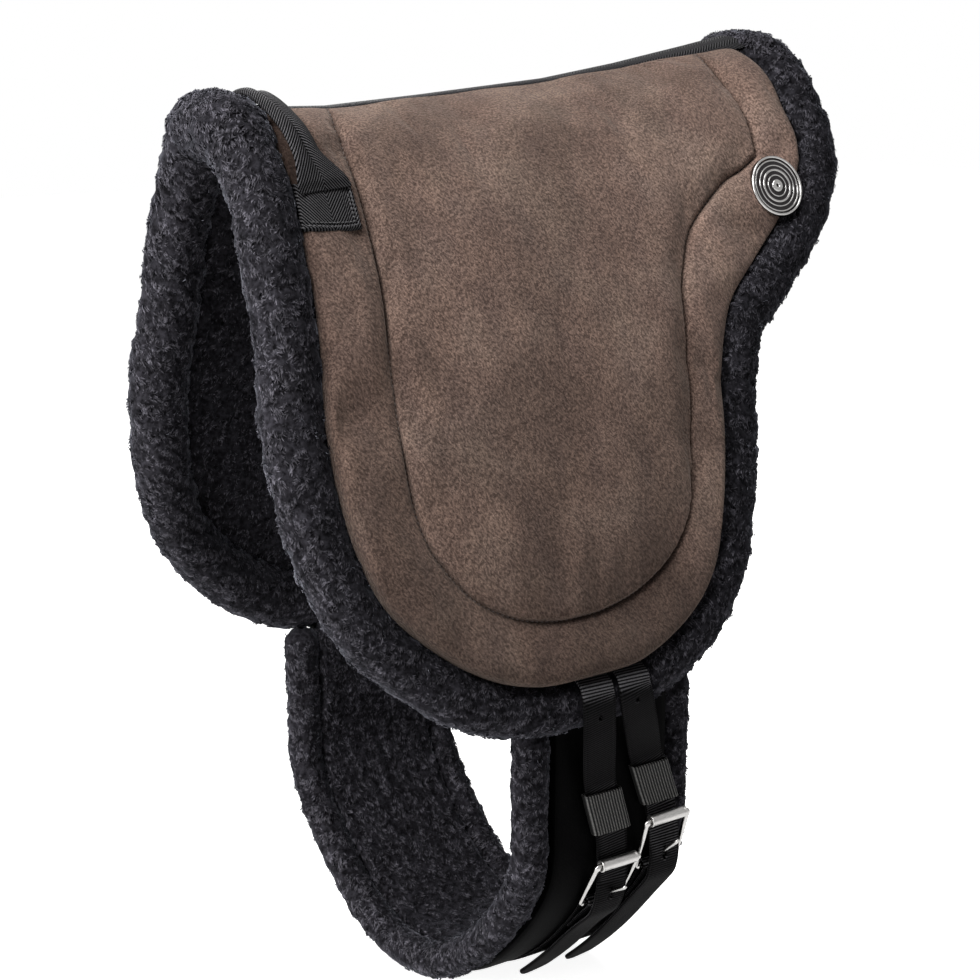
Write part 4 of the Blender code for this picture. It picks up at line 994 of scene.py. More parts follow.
def addPile(name, points, faces, normals, spacing, length, material, seed, lean, free):
    # every strand is one thin bent leaf, lying the same way as its tuft
    tris = np.concatenate([faces[:, [0, 1, 2]], faces[:, [0, 2, 3]]])
    a, b, c = points[tris[:, 0]], points[tris[:, 1]], points[tris[:, 2]]
    area = np.linalg.norm(np.cross(b - a, c - a), axis=1) / 2
    dice = np.random.default_rng(seed)
    count = int(area.sum() / spacing ** 2)
    pick = dice.choice(len(tris), count, p=area / area.sum())
    u, v = dice.random(count), dice.random(count)
    turn = u + v > 1
    u[turn], v[turn] = 1 - u[turn], 1 - v[turn]
    weights = np.column_stack([1 - u - v, u, v])[:, :, None]
    root = (np.stack([a[pick], b[pick], c[pick]], 1) * weights).sum(1)
    up = unit((normals[tris[pick]] * weights).sum(1))
    tuft = np.column_stack([waves(root, pile["clump"], seed + k) for k in (1, 2, 3)])

    def lying(way):
        return way - up * (way * up).sum(1, keepdims=True)

    flow = lying(pile["tuft"] * tuft + np.array(lean) + dice.normal(0, pile["stray"], (count, 3)))
    way = unit(pile["upright"] * up + flow)
    curl = unit(pile["curlUp"] * up + flow + lying(dice.normal(0, pile["curlStray"], (count, 3))))
    tall = length * dice.uniform(pile["short"], pile["tall"], count)[:, None]
    tall = tall * (free[tris[pick]] * weights[:, :, 0]).sum(1)[:, None]
    flat = unit(np.cross(way, up) + pile["twist"] * dice.normal(size=(count, 3)))
    flat = flat * pile["width"] / 2
    leaf = np.cross(flat, way)
    facing = np.sign((leaf * up).sum(1, keepdims=True))
    flat, leaf = flat * facing, unit(leaf * facing)
    root = root - up * tall * pile["sink"]
    middle = root + way * tall * pile["waist"]
    corners = np.stack([root, middle + flat, middle + curl * tall * pile["curl"], middle - flat], 1)
    corners = corners.reshape(-1, 3)
    own = dice.random(count)
    uv = np.stack([np.repeat(own, 4), np.tile([0.0, 0.55, 1.0, 0.55], count)], -1)
    # the pile is shaded as one soft surface, so its strands take mostly the skin's own direction
    soft = unit(up * pile["round"] + leaf * (1 - pile["round"]) + pile["brushed"] * way)
    soft = np.repeat(soft, 4, axis=0)
    parts = np.array_split(np.argsort(root[:, 1]), math.ceil(count / pile["perPiece"]))
    for number, part in enumerate(parts, 1):
        rows = (part[:, None] * 4 + np.arange(4)).ravel()
        strands = addPiece(name + (str(number) if len(parts) > 1 else ""), corners[rows],
                           np.arange(len(rows)).reshape(-1, 4), material, uv[rows],
                           uvName="pileMap")
        strands.data.normals_split_custom_set_from_vertices(soft[rows].tolist())
        onPad(strands, "fleece")


skin = {"bump": 0.010, "quickSpacing": 1.8, "map": [0.5, 0.22], "lean": (0, 0, -0.9)}


def dressFleece(name, points, faces, normals, node, spacing, length, seed, material=None,
                clump=0.0011, flip=False, ends=()):
    material = material or fleece
    bumps = waves(points, skin["bump"], seed) + 0.6 * waves(points, skin["bump"] / 2, seed + 40)
    points = points + normals * (bumps * clump)[:, None]
    points, free = pressFleece(points)
    piece = addPiece(name, points, faces.tolist() + list(ends), material,
                     np.tile(skin["map"], (len(points), 1)), flip=flip, uvName="pileMap")
    onPad(piece, "fleece", *node)
    addPile(name + "Pile", points, faces, normals, spacing, length, material, seed, skin["lean"],
            free)


# the roll grows and rises a little where it crosses the withers, and a bridge of a few
# sections closes it over both crests
crest = {"rise": 0.0020, "grow": 0.22, "reach": 0.05, "bridge": 7, "pull": 0.012, "trim": 6}


def rollLoop():
    # centre line and section directions of the roll round both flaps, as one closed loop
    forward = tangents(edge)
    reach = rollReach(edge[:, 1], columnShare)
    flat = edge + np.column_stack([-forward[:, 1], forward[:, 0]]) * reach[:, None]
    size = rollSize(columnShare)
    keep = slice(crest["trim"], -crest["trim"])
    halves = []
    for side in (near, off):
        x, run = flat[keep].T
        high = smoothstep(1 - run / crest["reach"]) * (x < pad["length"] / 2)
        full = roll["offFull"] * smoothstep((run / pad["flapDrop"] - 0.8) / 0.2) * (side == off)
        centre, normal = onFlap(x, run + full, rollHeight(run) + crest["rise"] * high, side)
        halves.append((centre, normal, size[keep] * (1 + crest["grow"] * high) + full))
    centre = np.vstack([halves[0][0], halves[1][0][::-1]])
    normal = np.vstack([halves[0][1], halves[1][1][::-1]])
    size = np.concatenate([halves[0][2], halves[1][2][::-1]])

    def bridge(a, b):
        t = np.linspace(0, 1, crest["bridge"] + 2)[1:-1, None]
        before, after = (a - 1 if a else 1), (b + 1 if b < len(centre) - 1 else b - 1)
        wayA = unit(centre[a] - centre[before]) * crest["pull"]
        wayB = unit(centre[b] - centre[after]) * crest["pull"]
        curve = (2 * t ** 3 - 3 * t ** 2 + 1) * centre[a] + (t ** 3 - 2 * t ** 2 + t) * wayA * 2 \
            + (-2 * t ** 3 + 3 * t ** 2) * centre[b] - (t ** 3 - t ** 2) * wayB * 2
        return curve, unit(normal[a] * (1 - t) + normal[b] * t), \
            size[a] * (1 - t[:, 0]) + size[b] * t[:, 0]

    count = len(halves[0][0])
    rear = bridge(count - 1, count)
    front = bridge(len(centre) - 1, 0)
    centre = np.vstack([centre[:count], rear[0], centre[count:], front[0]])
    normal = np.vstack([normal[:count], rear[1], normal[count:], front[1]])
    size = np.concatenate([size[:count], rear[2], size[count:], front[2]])
    return centre, normal, size


def tubePoints(centre, normal, size, around, closed=True):
    forward = tangents(centre, closed)
    normal = squareTo(forward, normal)
    beside = np.cross(forward, normal)
    turn = fullTurn(around)[None, :, None]
    out = beside[:, None] * np.cos(turn) + normal[:, None] * np.sin(turn)
    points = centre[:, None] + out * np.reshape(size, (-1, 1, 1))
    return points.reshape(-1, 3), unit(out).reshape(-1, 3)


print("rolling the fleece edge")
rollCentre, rollNormal, rollRadius = rollLoop()
rollPoints, rollOut = tubePoints(rollCentre, rollNormal, rollRadius * roll["skin"], roll["around"])
dressFleece("fleeceEdgeRoll", rollPoints, gridFaces(len(rollCentre), roll["around"], True, True),
            rollOut, ["near_edge_roll", "off_edge_roll"], roll["spacing"], roll["pileLength"], 11,
            clump=roll["clump"])


# fleece lining under both flaps, pressed in along a seam beside the roll
lining = {"face": -0.0168, "inset": -0.003, "seamAt": 0.030, "seamDepth": 0.0035,
          "seamWidth": 0.004, "rows": 46, "rim": 0.006, "rimRows": 3, "spacing": 0.0020,
          "pileLength": 0.0045, "clump": 0.0012}


def makeLining(side, word):
    middle = top * (1, 0)
    toTop = np.linalg.norm(middle - edge, axis=1)
    share = np.linspace(0, 1, lining["rows"])[:, None]
    inset = lining["inset"] + (toTop - lining["inset"]) * share
    flat = edge + unit(middle - edge) * inset[..., None]
    seamHere = np.exp(-((inset - lining["seamAt"]) / lining["seamWidth"]) ** 2)
    rim = np.clip(1 - np.arange(lining["rows"]) / lining["rimRows"], 0, 1)[:, None]
    height = lining["face"] + lining["seamDepth"] * seamHere + lining["rim"] * rim
    points, normals = onFlap(flat[..., 0], flat[..., 1], height, side)
    dressFleece(word + "FleeceLining", points.reshape(-1, 3), gridFaces(*points.shape[:2]),
                -normals.reshape(-1, 3), [word + "_fleece_lining"], lining["spacing"],
                lining["pileLength"], 21 + side, liningFleece, clump=lining["clump"],
                flip=side == near)


print("lining the flaps")
for side, word in sides:
    makeLining(side, word)


# webbing along the spine
spine = {"steps": 160, "across": 12, "intoRoll": 0.010, "edgeDrop": 0.0009}


def makeSpine():
    x = np.linspace(edge[0, 0] - spine["intoRoll"], edge[-1, 0] + spine["intoRoll"],
                    spine["steps"] + 1)
    share = np.linspace(-1, 1, spine["across"] + 1)[:, None]
    run = spineHalf(x) * share
    height = pad["suedeHeight"] - pad["suedeThick"] + pad["webbingThick"] \
        - spine["edgeDrop"] * np.abs(share) ** 8
    points = onFlap(x, run, height, off)[0]
    uv = np.stack([run + 0.05, x + run * 0], -1).reshape(-1, 2)
    onPad(addGrid("spineWebbing", points, herringbone, uv, flip=True), "webbing", "spine_webbing")


print("laying the spine webbing")
makeSpine()


def roundedBox(half, low, high, corner, count):
    # a flat section with rounded corners, turning once round it
    side = np.linspace(-half + corner, half - corner, count)
    turn = np.linspace(0, math.pi / 2, 5)[1:-1]

    def bend(x, y, start):
        return [(x + corner * math.cos(start + t), y + corner * math.sin(start + t)) for t in turn]

    section = [(x, low) for x in side] + bend(half - corner, low + corner, -math.pi / 2)
    section += [(half, low + corner), (half, high - corner)]
    section += bend(half - corner, high - corner, 0) + [(x, high) for x in side[::-1]]
    section += bend(corner - half, high - corner, math.pi / 2)
    section += [(-half, high - corner), (-half, low + corner)]
    section += bend(corner - half, low + corner, math.pi)
    return np.array(section)


def girthRows(section, steps):
    across, height = section[:, 0], section[:, 1]
    low, high = girthEnd(across, near), girthEnd(across, off)
    share = np.linspace(0, 1, steps + 1)[:, None]
    rise = low + (high - low) * share
    return (*onGirth(rise, across + rise * 0, height + rise * 0), rise)


def makeGirthBand():
    half = girth["rollPlace"] - girth["rollRadius"] - pad["gap"]
    section = roundedBox(half, girth["coreFloor"], girth["coreTop"], *girth["coreCorner"])
    rows, normals, rise = girthRows(section, girth["steps"])
    across = section[:, 0]
    outer = section[:, 1] > girth["coreTop"] - 0.0001
    # the outer face puffs up between the straps
    lane = np.array([readTable(line.lane, np.abs(rise)) for line in strapLines[:2]])
    fromStrap = (np.abs(across[None, None] - lane) - strap["width"] / 2).min(0)
    free = np.clip(fromStrap / girth["puffReach"], 0, 1)
    swell = girth["puff"] * np.sin(free * math.pi / 2) ** 1.5 * outer \
        * np.clip((half - np.abs(across)) / girth["puffEdge"], 0, 1)
    rows = rows + normals * swell[..., None]
    uv = np.stack([across + rise * 0, rise], -1).reshape(-1, 2)
    core = addTube("girthCore", rows, canvas, uv, flip=True)
    onPad(core, "webbing", "girth_core")

    top = girth["coreFloor"] - pad["gap"]
    floor = top - girth["fleeceThick"] + girth["fleeceInside"]
    section = roundedBox(half, floor, top, *girth["fleeceCorner"])
    rows = girthRows(section, girth["steps"] // 2)[0]
    points, faces, ends = capped(rows)
    dressFleece("girthFleece", points, faces, sectionOut(rows), ["girth_fleece"],
                girth["fleeceSpacing"], girth["fleecePile"], 31, clump=girth["fleeceClump"],
                flip=True, ends=ends)

    inset, fullness = np.array(girth["rollEnds"]).T
    for word, place in (("front", -girth["rollPlace"]), ("rear", girth["rollPlace"])):
        low, high = girthEnd(place, near), girthEnd(place, off)
        rise = np.concatenate([low + inset, np.linspace(low + girth["rollEndReach"],
                                                        high - girth["rollEndReach"],
                                                        girth["rollSteps"]), (high - inset)[::-1]])
        size = np.concatenate([fullness, np.ones(girth["rollSteps"]), fullness[::-1]])
        centre, normal = onGirth(rise, place, 0)
        points, out = tubePoints(centre, normal, size * girth["rollRadius"] * roll["skin"],
                                 girth["rollAround"], closed=False)
        faces = gridFaces(len(rise), girth["rollAround"], False, True)
        dressFleece("girthRoll" + word.capitalize(), points, faces, out, ["girth_roll_" + word],
                    girth["rollSpacing"], girth["rollPile"], 35 + len(word),
                    clump=girth["rollClump"])


def sectionOut(rows):
    # outward directions of a closed section, from its neighbours round and along
    around = np.roll(rows, -1, 1) - np.roll(rows, 1, 1)
    along = np.gradient(rows, axis=0)
    return -unit(np.cross(around, along)).reshape(-1, 3)


# flat webbing with ribs across it, woven edges and oval holes
weave = {
    # grid lines from the middle outwards: the first ones from the middle, the others from the edge
    "inner": [0, 0.0015, 0.0030, 0.0045, 0.0060],
    "outer": [0.0052, 0.0034, 0.0022, 0.0016, 0.0011, 0.0005, 0.0],
    "holeReach": 8, "holeAside": 4, "holeWidth": 0.006, "edgeRound": 0.0010, "edgeSquash": 0.85,
    "selvage": 0.0018, "selvageFade": 0.0006, "grooveDepth": 0.00035, "grooveWidth": 0.0005,
    "bead": 0.9,
}


def strapPiece(name, path, across, thick, material, holes=(), tip=0.0):
    half = strap["width"] / 2
    run = runAlong(path)
    rows = int(run[-1] / strap["rowStep"])
    s = np.linspace(0, run[-1], rows + 1)
    columns = np.array(weave["inner"] + [half - inset for inset in weave["outer"]])
    columns = np.concatenate([-columns[:0:-1], columns])
    middle = len(columns) // 2
    along, wide = np.meshgrid(s, columns, indexing="ij")
    gone = np.zeros((rows, len(columns) - 1), bool)
    reach, aside = weave["holeReach"], weave["holeAside"]
    for place, long, broad in holes:
        # the grid bends round each hole; its inner cells are left out
        row = int(round(place / strap["rowStep"]))
        for i in range(-reach, reach + 1):
            for j in range(-aside, aside + 1):
                u, v = i / reach, j / aside
                m = max(abs(u), abs(v))
                if m < 0.5:
                    continue
                angle = math.atan2(v, u)
                blend = (m - 0.5) * 2
                frameLong, frameWide = u / m * reach * strap["rowStep"], v / m * weave["holeWidth"]
                along[row + i, middle + j] = s[row] + long * math.cos(angle) * (1 - blend) \
                    + frameLong * blend
                wide[row + i, middle + j] = broad * math.sin(angle) * (1 - blend) \
                    + frameWide * blend
        gone[row - reach // 2:row + reach // 2, middle - aside // 2:middle + aside // 2] = True
    spread = np.ones_like(along)
    if tip:
        left = np.clip((run[-1] - along) / tip, 0, 1)
        spread = strap["tip"] + (1 - strap["tip"]) * np.sin(left * math.pi / 2) ** 0.8
    centre = readAlong(along, run, path)
    forward = unit(readAlong(along, run, tangents(path)))
    side = squareTo(forward, readAlong(along, run, across))
    out = np.cross(forward, side)
    fromEdge = half - np.abs(wide)
    rounding = np.clip(1 - fromEdge / weave["edgeRound"], 0, 1) ** 2 * weave["edgeSquash"]
    profile = np.sqrt(np.clip(1 - rounding, 0, 1))
    rib = np.abs(np.sin(along * math.pi / strap["ribPitch"])) ** 0.7
    bead = np.abs(np.sin((along + strap["ribPitch"] / 4) * 2 * math.pi / strap["ribPitch"])) ** 0.8
    woven = smoothstep((fromEdge - weave["selvage"]) / weave["selvageFade"])
    relief = rib * woven + weave["bead"] * bead * (1 - woven) * (fromEdge > 0.0002)
    groove = np.exp(-((fromEdge - weave["selvage"] - 0.0001) / weave["grooveWidth"]) ** 2)
    height = thick / 2 * profile + strap["ribDepth"] * (relief - 1) - weave["grooveDepth"] * groove
    top = centre + side * (wide * spread)[..., None] + out * height[..., None]
    floor = centre + side * (wide * spread)[..., None] - out * height[..., None]
    uv = np.vstack([np.stack([wide * spread, along], -1).reshape(-1, 2)] * 2)
    return slab(name, top, floor, gridFaces(*top.shape[:2])[~gone.ravel()], material, uv)


def slab(name, top, floor, grid, material, uv, flip=False):
    # an upper and a lower sheet of the same grid, joined along their open edges
    count = top.shape[0] * top.shape[1]
    used = np.unique(grid)
    faces = grid.tolist() + (grid[:, ::-1] + count).tolist() \
        + [[b, a, a + count, b + count] for a, b in openEdges(grid, count)]
    points = np.vstack([top.reshape(-1, 3), floor.reshape(-1, 3)])
    keep = np.concatenate([used, used + count])
    renumber = np.full(2 * count, -1)
    renumber[keep] = np.arange(len(keep))
    faces = [[int(renumber[corner]) for corner in face] for face in faces]
    return addPiece(name, points[keep], faces, material, uv[keep], flip=flip)


def camel(words):
    first, *rest = words.split("_")
    return first + "".join(word.capitalize() for word in rest)


# a billet's smoothing, its turn to the buckle's own direction, and its two holes: the free one's
# place for the front and the rear strap, and both holes' half length and half width
billet = {
    "steps": 16, "hangRounds": 250, "fallRounds": 120, "ease": 0.25, "turnIn": 0.012,
    "turnOut": (0.008, 0.03), "freeHole": (0.048, 0.042), "freeSize": (0.0030, 0.0016),
    "tongueSize": (0.0036, 0.0023), "tip": 0.016, "blend": 0.003,
}


def makeBillet(line):
    upper, steps = line.billetPath(), billet["steps"]
    dense = spline(upper + line.tailPath(), steps)
    belowBar = steps * (len(upper) - 1)
    keeperEnd = steps * (len(upper) - 5)
    hang = slice(steps * 3, keeperEnd - steps)
    fall = slice(belowBar - 4, len(dense) - 2)
    for part, rounds in ((hang, billet["hangRounds"]), (fall, billet["fallRounds"])):
        for _ in range(rounds):
            before, after = dense[part.start - 1:part.stop - 1], dense[part.start + 1:part.stop + 1]
            dense[part] += (before + after - 2 * dense[part]) * billet["ease"]
    run = runAlong(dense)
    turnAt, fade = billet["turnOut"]
    turned = smoothstep((run - run[keeperEnd]) / billet["turnIn"]) \
        * (1 - smoothstep((run - run[belowBar] - turnAt) / fade))
    across = unit((1 - turned)[:, None] * np.array([1.0, 0, 0]) + turned[:, None] * line.across)
    # the tongue's hole is where its line leaves the strap
    lean = math.radians(buckle["angle"])
    normal = unit(np.cross(line.across, line.up * math.cos(lean) + line.out * math.sin(lean)))
    aside = np.abs((dense[keeperEnd:belowBar] - line.bar) @ normal)
    crossing = run[keeperEnd + int(np.argmin(aside))]
    holes = [(billet["freeHole"][line.rear], *billet["freeSize"]),
             (crossing, *billet["tongueSize"])]
    piece = strapPiece(camel(line.name) + "Billet", dense, across, strap["billetThick"],
                       ribbedWebbing, holes, billet["tip"])
    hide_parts(line.name + "_billet", line.name + "_billet_tail")
    start, end = (tuple(line.local(0, long, buckle["bulge"]))
                  for long in (billet["blend"], -billet["blend"]))
    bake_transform(piece)


# a girth strap's stations: on its folded ends, round the bars and along the girth between them
girthStrap = {"foldShares": (1.0, 0.6, 0.3), "barSteps": 8, "between": 60, "steps": 6}


def makeGirthStrap(rear):
    radius = buckle["wire"] + pad["gap"] + strap["thick"] / 2
    bed = pad["gap"] + strap["thick"] / 2
    folded = bed + strap["thick"] + pad["gap"]

    def endFold(line):
        places = []
        for share in girthStrap["foldShares"]:
            rise = line.barRise - strap["foldLength"] * share
            lift = folded + (bed + 2 * radius - folded) * (1 - share) ** 2
            places.append(line.at(rise, lift))
        for turn in np.linspace(0, math.pi, girthStrap["barSteps"] + 1):
            places.append(line.local(0, radius * math.sin(turn), radius * math.cos(turn)))
        return [(place, line.across) for place in places]

    lines = [line for line in strapLines if line.rear == rear]
    stations = endFold(lines[0])
    reach = lines[0].barRise - 2 * radius
    for rise in np.linspace(-reach, reach, girthStrap["between"]):
        line = lines[0] if rise < 0 else lines[1]
        across = line.across if abs(abs(rise) - reach) < 1e-9 else np.array([1.0, 0, 0])
        stations.append((line.at(abs(rise), bed), across))
    stations += endFold(lines[1])[::-1]
    path, across = (np.array(values) for values in zip(*stations))
    dense = spline(path, girthStrap["steps"])
    ways = readAlong(np.arange(len(dense)) / girthStrap["steps"], np.arange(len(path)), across)
    word = ("front", "rear")[rear]
    piece = strapPiece("girthStrap" + word.capitalize(), dense, ways, strap["thick"], ribbedWebbing)
    onPad(piece, "webbing", "girth_strap_" + word)


def makeKeeper(line):
    wide = strap["width"] / 2 + strap["keeperRoom"]
    wall = strap["keeperWall"]
    low = pad["gap"]
    high = low + wall + strap["billetThick"] + 2 * strap["keeperPlay"] + wall
    corner = (high - low) / 2 - keeper["square"]
    section = roundedBox(wide + wall, low, high, corner, keeper["around"])
    inner = roundedBox(wide, low + wall, high - wall, corner - wall, keeper["around"])
    rises = line.keeperRise + strap["keeperHeight"] * np.linspace(-0.5, 0.5, keeper["rows"] + 1)
    phase = section[:, 0] / (wide + wall) * keeper["ribs"] * math.pi
    rib = (np.abs(np.sin(phase)) ** 0.6 - 0.7) * keeper["ribDepth"]
    rows, uv = [], []
    for ring, relief, order, outward in ((section, rib, rises, 1), (inner, 0.0, rises[::-1], -1)):
        for rise in order:
            # its ends are rounded in
            fromEnd = abs(abs(rise - line.keeperRise) - strap["keeperHeight"] / 2)
            inset = (1 - min(1, fromEnd / keeper["endLength"])) ** 2 * keeper["endRound"] * outward
            above = ring[:, 1] - (low + high) / 2
            heights = ring[:, 1] + relief * (above > 0) - inset * np.sign(above)
            across = readTable(line.lane, rise) + ring[:, 0]
            rows.append(onGirth(line.side * rise, across, girth["coreTop"] + heights)[0])
            uv.append(np.column_stack([ring[:, 0], np.full(len(ring), rise)]))
    piece = addGrid(camel(line.name) + "Keeper", np.array(rows), elastic, np.concatenate(uv),
                    line.side == near, True, True)
    onPad(piece, "elastic", line.name + "_keeper")


# roller buckles
def turnedPiece(name, profile, centre, axis, count, material, closed=True):
    axis = unit(np.asarray(axis, float))
    first = unit(np.cross(axis, (0.0, 0.0, 1.0)))
    second = np.cross(axis, first)
    turn = fullTurn(count)[None, :, None]
    radius, along = (np.array(profile)[:, k][:, None, None] for k in (0, 1))
    rows = centre + axis * along + (first * np.cos(turn) + second * np.sin(turn)) * radius
    return addGrid(name, rows, material, closedRows=closed, closedColumns=True)


# the look of a buckle's wire, roller and tongue, beyond the sizes that it shares with the source
buckleLook = {
    "wireTaper": 0.22, "taperAt": 0.78, "taperReach": 0.7, "armWidth": 0.0012, "cornerSteps": 7,
    "knob": 0.32, "knobAt": 0.985, "knobReach": 0.055, "knobAside": 0.0165, "knobFade": 0.0015,
    "wireSteps": 260, "around": 16, "rollerAround": 40, "bore": 1.2, "boreEdge": 0.0006,
    # the roller's outline from its end inwards: how far over its radius, how far from its end
    "rollerEnd": [(-0.0006, 0.0), (0.0003, 0.0003), (0.0004, 0.0008), (0.0003, 0.0014),
                  (-0.0001, 0.0017), (-0.0001, 0.0022), (0.0, 0.0026)],
    "tongueRoot": (0.0045, 0.0015), "tongue": (0.0036, 0.0034), "tongueGrow": 4,
    "tongueSteps": (0.05, 0.1, 0.2, 0.3, 0.45, 0.6, 0.75, 0.85, 0.92, 0.96, 0.985, 1.0),
    "tongueTip": (1.02, 0.97, 0.85, 0.62, 0.15), "wound": (40, 270, 25),
}


def makeBuckle(line):
    look, corner, name = buckleLook, buckle["corner"], camel(line.name)
    keys = []
    for step, (wideSide, longEnd) in enumerate(((1, 0), (1, 1), (-1, 1), (-1, 0))):
        wide = wideSide * (buckle["halfWidth"] - corner)
        long = corner + (buckle["length"] - 2 * corner) * longEnd
        for turn in math.pi / 2 * (step - 1 + np.linspace(0, 1, look["cornerSteps"])):
            keys.append((wide + corner * math.cos(turn), long + corner * math.sin(turn)))
    ring = evenPoints(np.array(keys + keys[:1]), look["wireSteps"])[:-1]
    aside, long = np.abs(ring[:, 0]), ring[:, 1] / buckle["length"]
    onArm = aside > buckle["halfWidth"] - look["armWidth"]
    taper = smoothstep((look["taperAt"] - long) / look["taperReach"]) * onArm
    knob = np.exp(-((long - look["knobAt"]) / look["knobReach"]) ** 2) \
        * smoothstep((aside - look["knobAside"]) / look["knobFade"])
    size = buckle["wire"] * (1 - look["wireTaper"] * taper + look["knob"] * knob)
    centre = np.array([line.local(wide, along, 0) for wide, along in ring])
    points = tubePoints(centre, np.tile(line.out, (len(centre), 1)), size, look["around"])[0]
    wire = addPiece(name + "BuckleFrame", points,
                    gridFaces(len(centre), look["around"], True, True), polishedSteel)

    half, radius = buckle["rollerLength"] / 2, buckle["roller"]
    bore = buckle["wire"] + pad["gap"] * look["bore"]
    upper = [(bore, 0), (bore, half - look["boreEdge"])] \
        + [(radius + over, half - inset) for over, inset in look["rollerEnd"]] + [(radius, 0)]
    roller = turnedPiece(name + "BuckleRoller", upper + [(r, -a) for r, a in upper[-2:0:-1]],
                         line.local(0, buckle["length"], 0), line.across, look["rollerAround"],
                         brushedSteel)

    # the tongue is wound round the bar and then runs straight out through the strap's hole
    (rootWide, rootHigh), (tipWide, tipHigh) = look["tongueRoot"], look["tongue"]
    radius = buckle["wire"] + pad["gap"] + rootHigh / 2
    lean = math.radians(buckle["angle"])
    wound = lean + np.radians(np.linspace(*look["wound"]))
    path = [line.local(0, radius * math.cos(turn), radius * math.sin(turn)) for turn in wound]
    reach = line.up * math.cos(lean) + line.out * math.sin(lean)
    path += [path[-1] + reach * buckle["tongue"] * share for share in look["tongueSteps"]]
    path = np.array(path)
    grown = smoothstep((np.arange(len(path)) - len(wound) + 1) / look["tongueGrow"])
    last = np.ones(len(path))
    last[-len(look["tongueTip"]):] = look["tongueTip"]
    wide = (rootWide + (tipWide - rootWide) * grown) / 2 * last
    high = (rootHigh + (tipHigh - rootHigh) * grown) / 2 * last
    turn = fullTurn(look["around"])
    up = np.cross(tangents(path), line.across)
    rows = path[:, None] + line.across * (np.cos(turn) * wide[:, None])[..., None] \
        + up[:, None] * (np.sin(turn) * high[:, None])[..., None]
    tongue = addTube(name + "BuckleTongue", rows, polishedSteel)
    for piece, word in ((wire, "frame"), (roller, "roller"), (tongue, "tongue")):
        node = line.name + "_buckle_" + word
        onPad(piece, "steel", node, body=node)


# grab strap with its sewn tabs; folded and spread are its width over the withers and on the tab
handle = {
    "width": 0.031, "thick": 0.0065, "gap": 0.0052, "sideGap": 0.0060, "place": 0.0335,
    "endPlace": 0.0420, "endGap": 0.0012, "shares": [(0.3, 0.72), (0.7, 0.40)],
    "folded": 0.70, "spread": 1.28, "sewnShare": 0.16, "shift": -0.0045, "tilt": 0.20,
    "crestSink": 0.0028, "slope": 0.035, "steps": 240, "around": 72, "lobeHeight": (0.30, 0.80),
    "sewnHeight": 0.42, "groove": 0.35, "grooveWidth": 0.12,
    "blend": ((0.0425, 0, -0.056), (0.0425, 0, -0.030)),
}
tab = {
    "width": 0.044, "length": 0.031, "top": 0.069, "bow": 0.0016, "dip": 0.0012, "dipReach": 0.008,
    "frontInset": 0.002, "edgeRound": 0.0010, "floor": 0.0008,
    # the hem: where it lies from the free edges, how high it stands and how wide it is
    "hem": [(0.0016, 0.0007, 0.0011), (0.0040, -0.0006, 0.0007)],
    "stitchLines": (0.0028, 0.0052), "stitch": (0.0031, 0.0023, 0.00042),
}
borderTop = pad["suedeHeight"] + cover["borderCrown"] + pad["gap"]


def makeGrabStrap():
    half = handle["thick"] / 2
    endHeight = borderTop + pad["webbingThick"] + handle["endGap"] + half
    endRun = tab["top"] + handle["thick"]
    sideHeight = borderTop - pad["gap"] + handle["sideGap"] + half
    crestHeight = pad["suedeHeight"] + pad["webbingThick"] + handle["gap"] + half
    halves = []
    for side in (near, off):
        keys = [onFlap(handle["endPlace"], endRun, endHeight, side)[0]]
        for ahead, low in handle["shares"]:
            x = handle["endPlace"] + (handle["place"] - handle["endPlace"]) * ahead
            keys.append(onFlap(x, endRun * low, sideHeight, side)[0])
        halves.append(keys)
    highest = onFlap(handle["place"], 0, crestHeight, off)[0]
    path = evenPoints(spline(halves[0] + [highest] + halves[1][::-1], 24), handle["steps"])
    forward = tangents(path)
    across = squareTo(forward, np.array([1.0, 0, 0]))
    out = np.cross(across, forward)
    out = out * np.sign(out[len(out) // 2, 2])
    turn = fullTurn(handle["around"])
    share = np.linspace(0, 1, len(path))
    fromEnd = np.minimum(share, 1 - share)[:, None]
    sewn = 1 - smoothstep(fromEnd / handle["sewnShare"])
    # two soft lobes with a groove between them, pressed flat where the strap is sewn down
    aside = np.sign(np.cos(turn)) * np.abs(np.cos(turn)) ** 0.9
    lobe = np.clip(1 - np.abs(np.abs(aside) - 0.5) * 2, 0, 1) ** 0.5
    lobe = lobe - handle["groove"] * np.exp(-(aside / handle["grooveWidth"]) ** 2)
    wide = handle["width"] / 2 * aside \
        * (handle["folded"] + (handle["spread"] - handle["folded"]) * sewn)
    least, more = handle["lobeHeight"]
    high = half * np.sign(np.sin(turn)) * np.clip(np.abs(np.sin(turn)) * 2.2, 0, 1) ** 0.6 \
        * ((least + more * lobe) * (1 - sewn) + handle["sewnHeight"] * sewn)
    # its last millimetres slope down to the tab
    ending = 1 - smoothstep(fromEnd / handle["slope"])
    high = np.where(high > 0, high * (1 - 1.5 * ending), high)
    tilt = handle["tilt"] * (1 - sewn)
    c, s = np.cos(tilt), np.sin(tilt)
    wide, high = wide * c + high * s, high * c - wide * s
    sink = (half * 0.58 + handle["endGap"] - 0.0004) * sewn + handle["crestSink"] * (1 - sewn)
    rows = path[:, None] + across[:, None] * (wide + handle["shift"] * (1 - sewn))[..., None] \
        + out[:, None] * (high - sink)[..., None]
    uv = np.stack(np.broadcast_arrays(wide, runAlong(path)[:, None]), -1).reshape(-1, 2)
    piece = addTube("grabStrap", rows, twillWebbing, uv)
    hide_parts("grab_strap")
    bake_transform(piece)


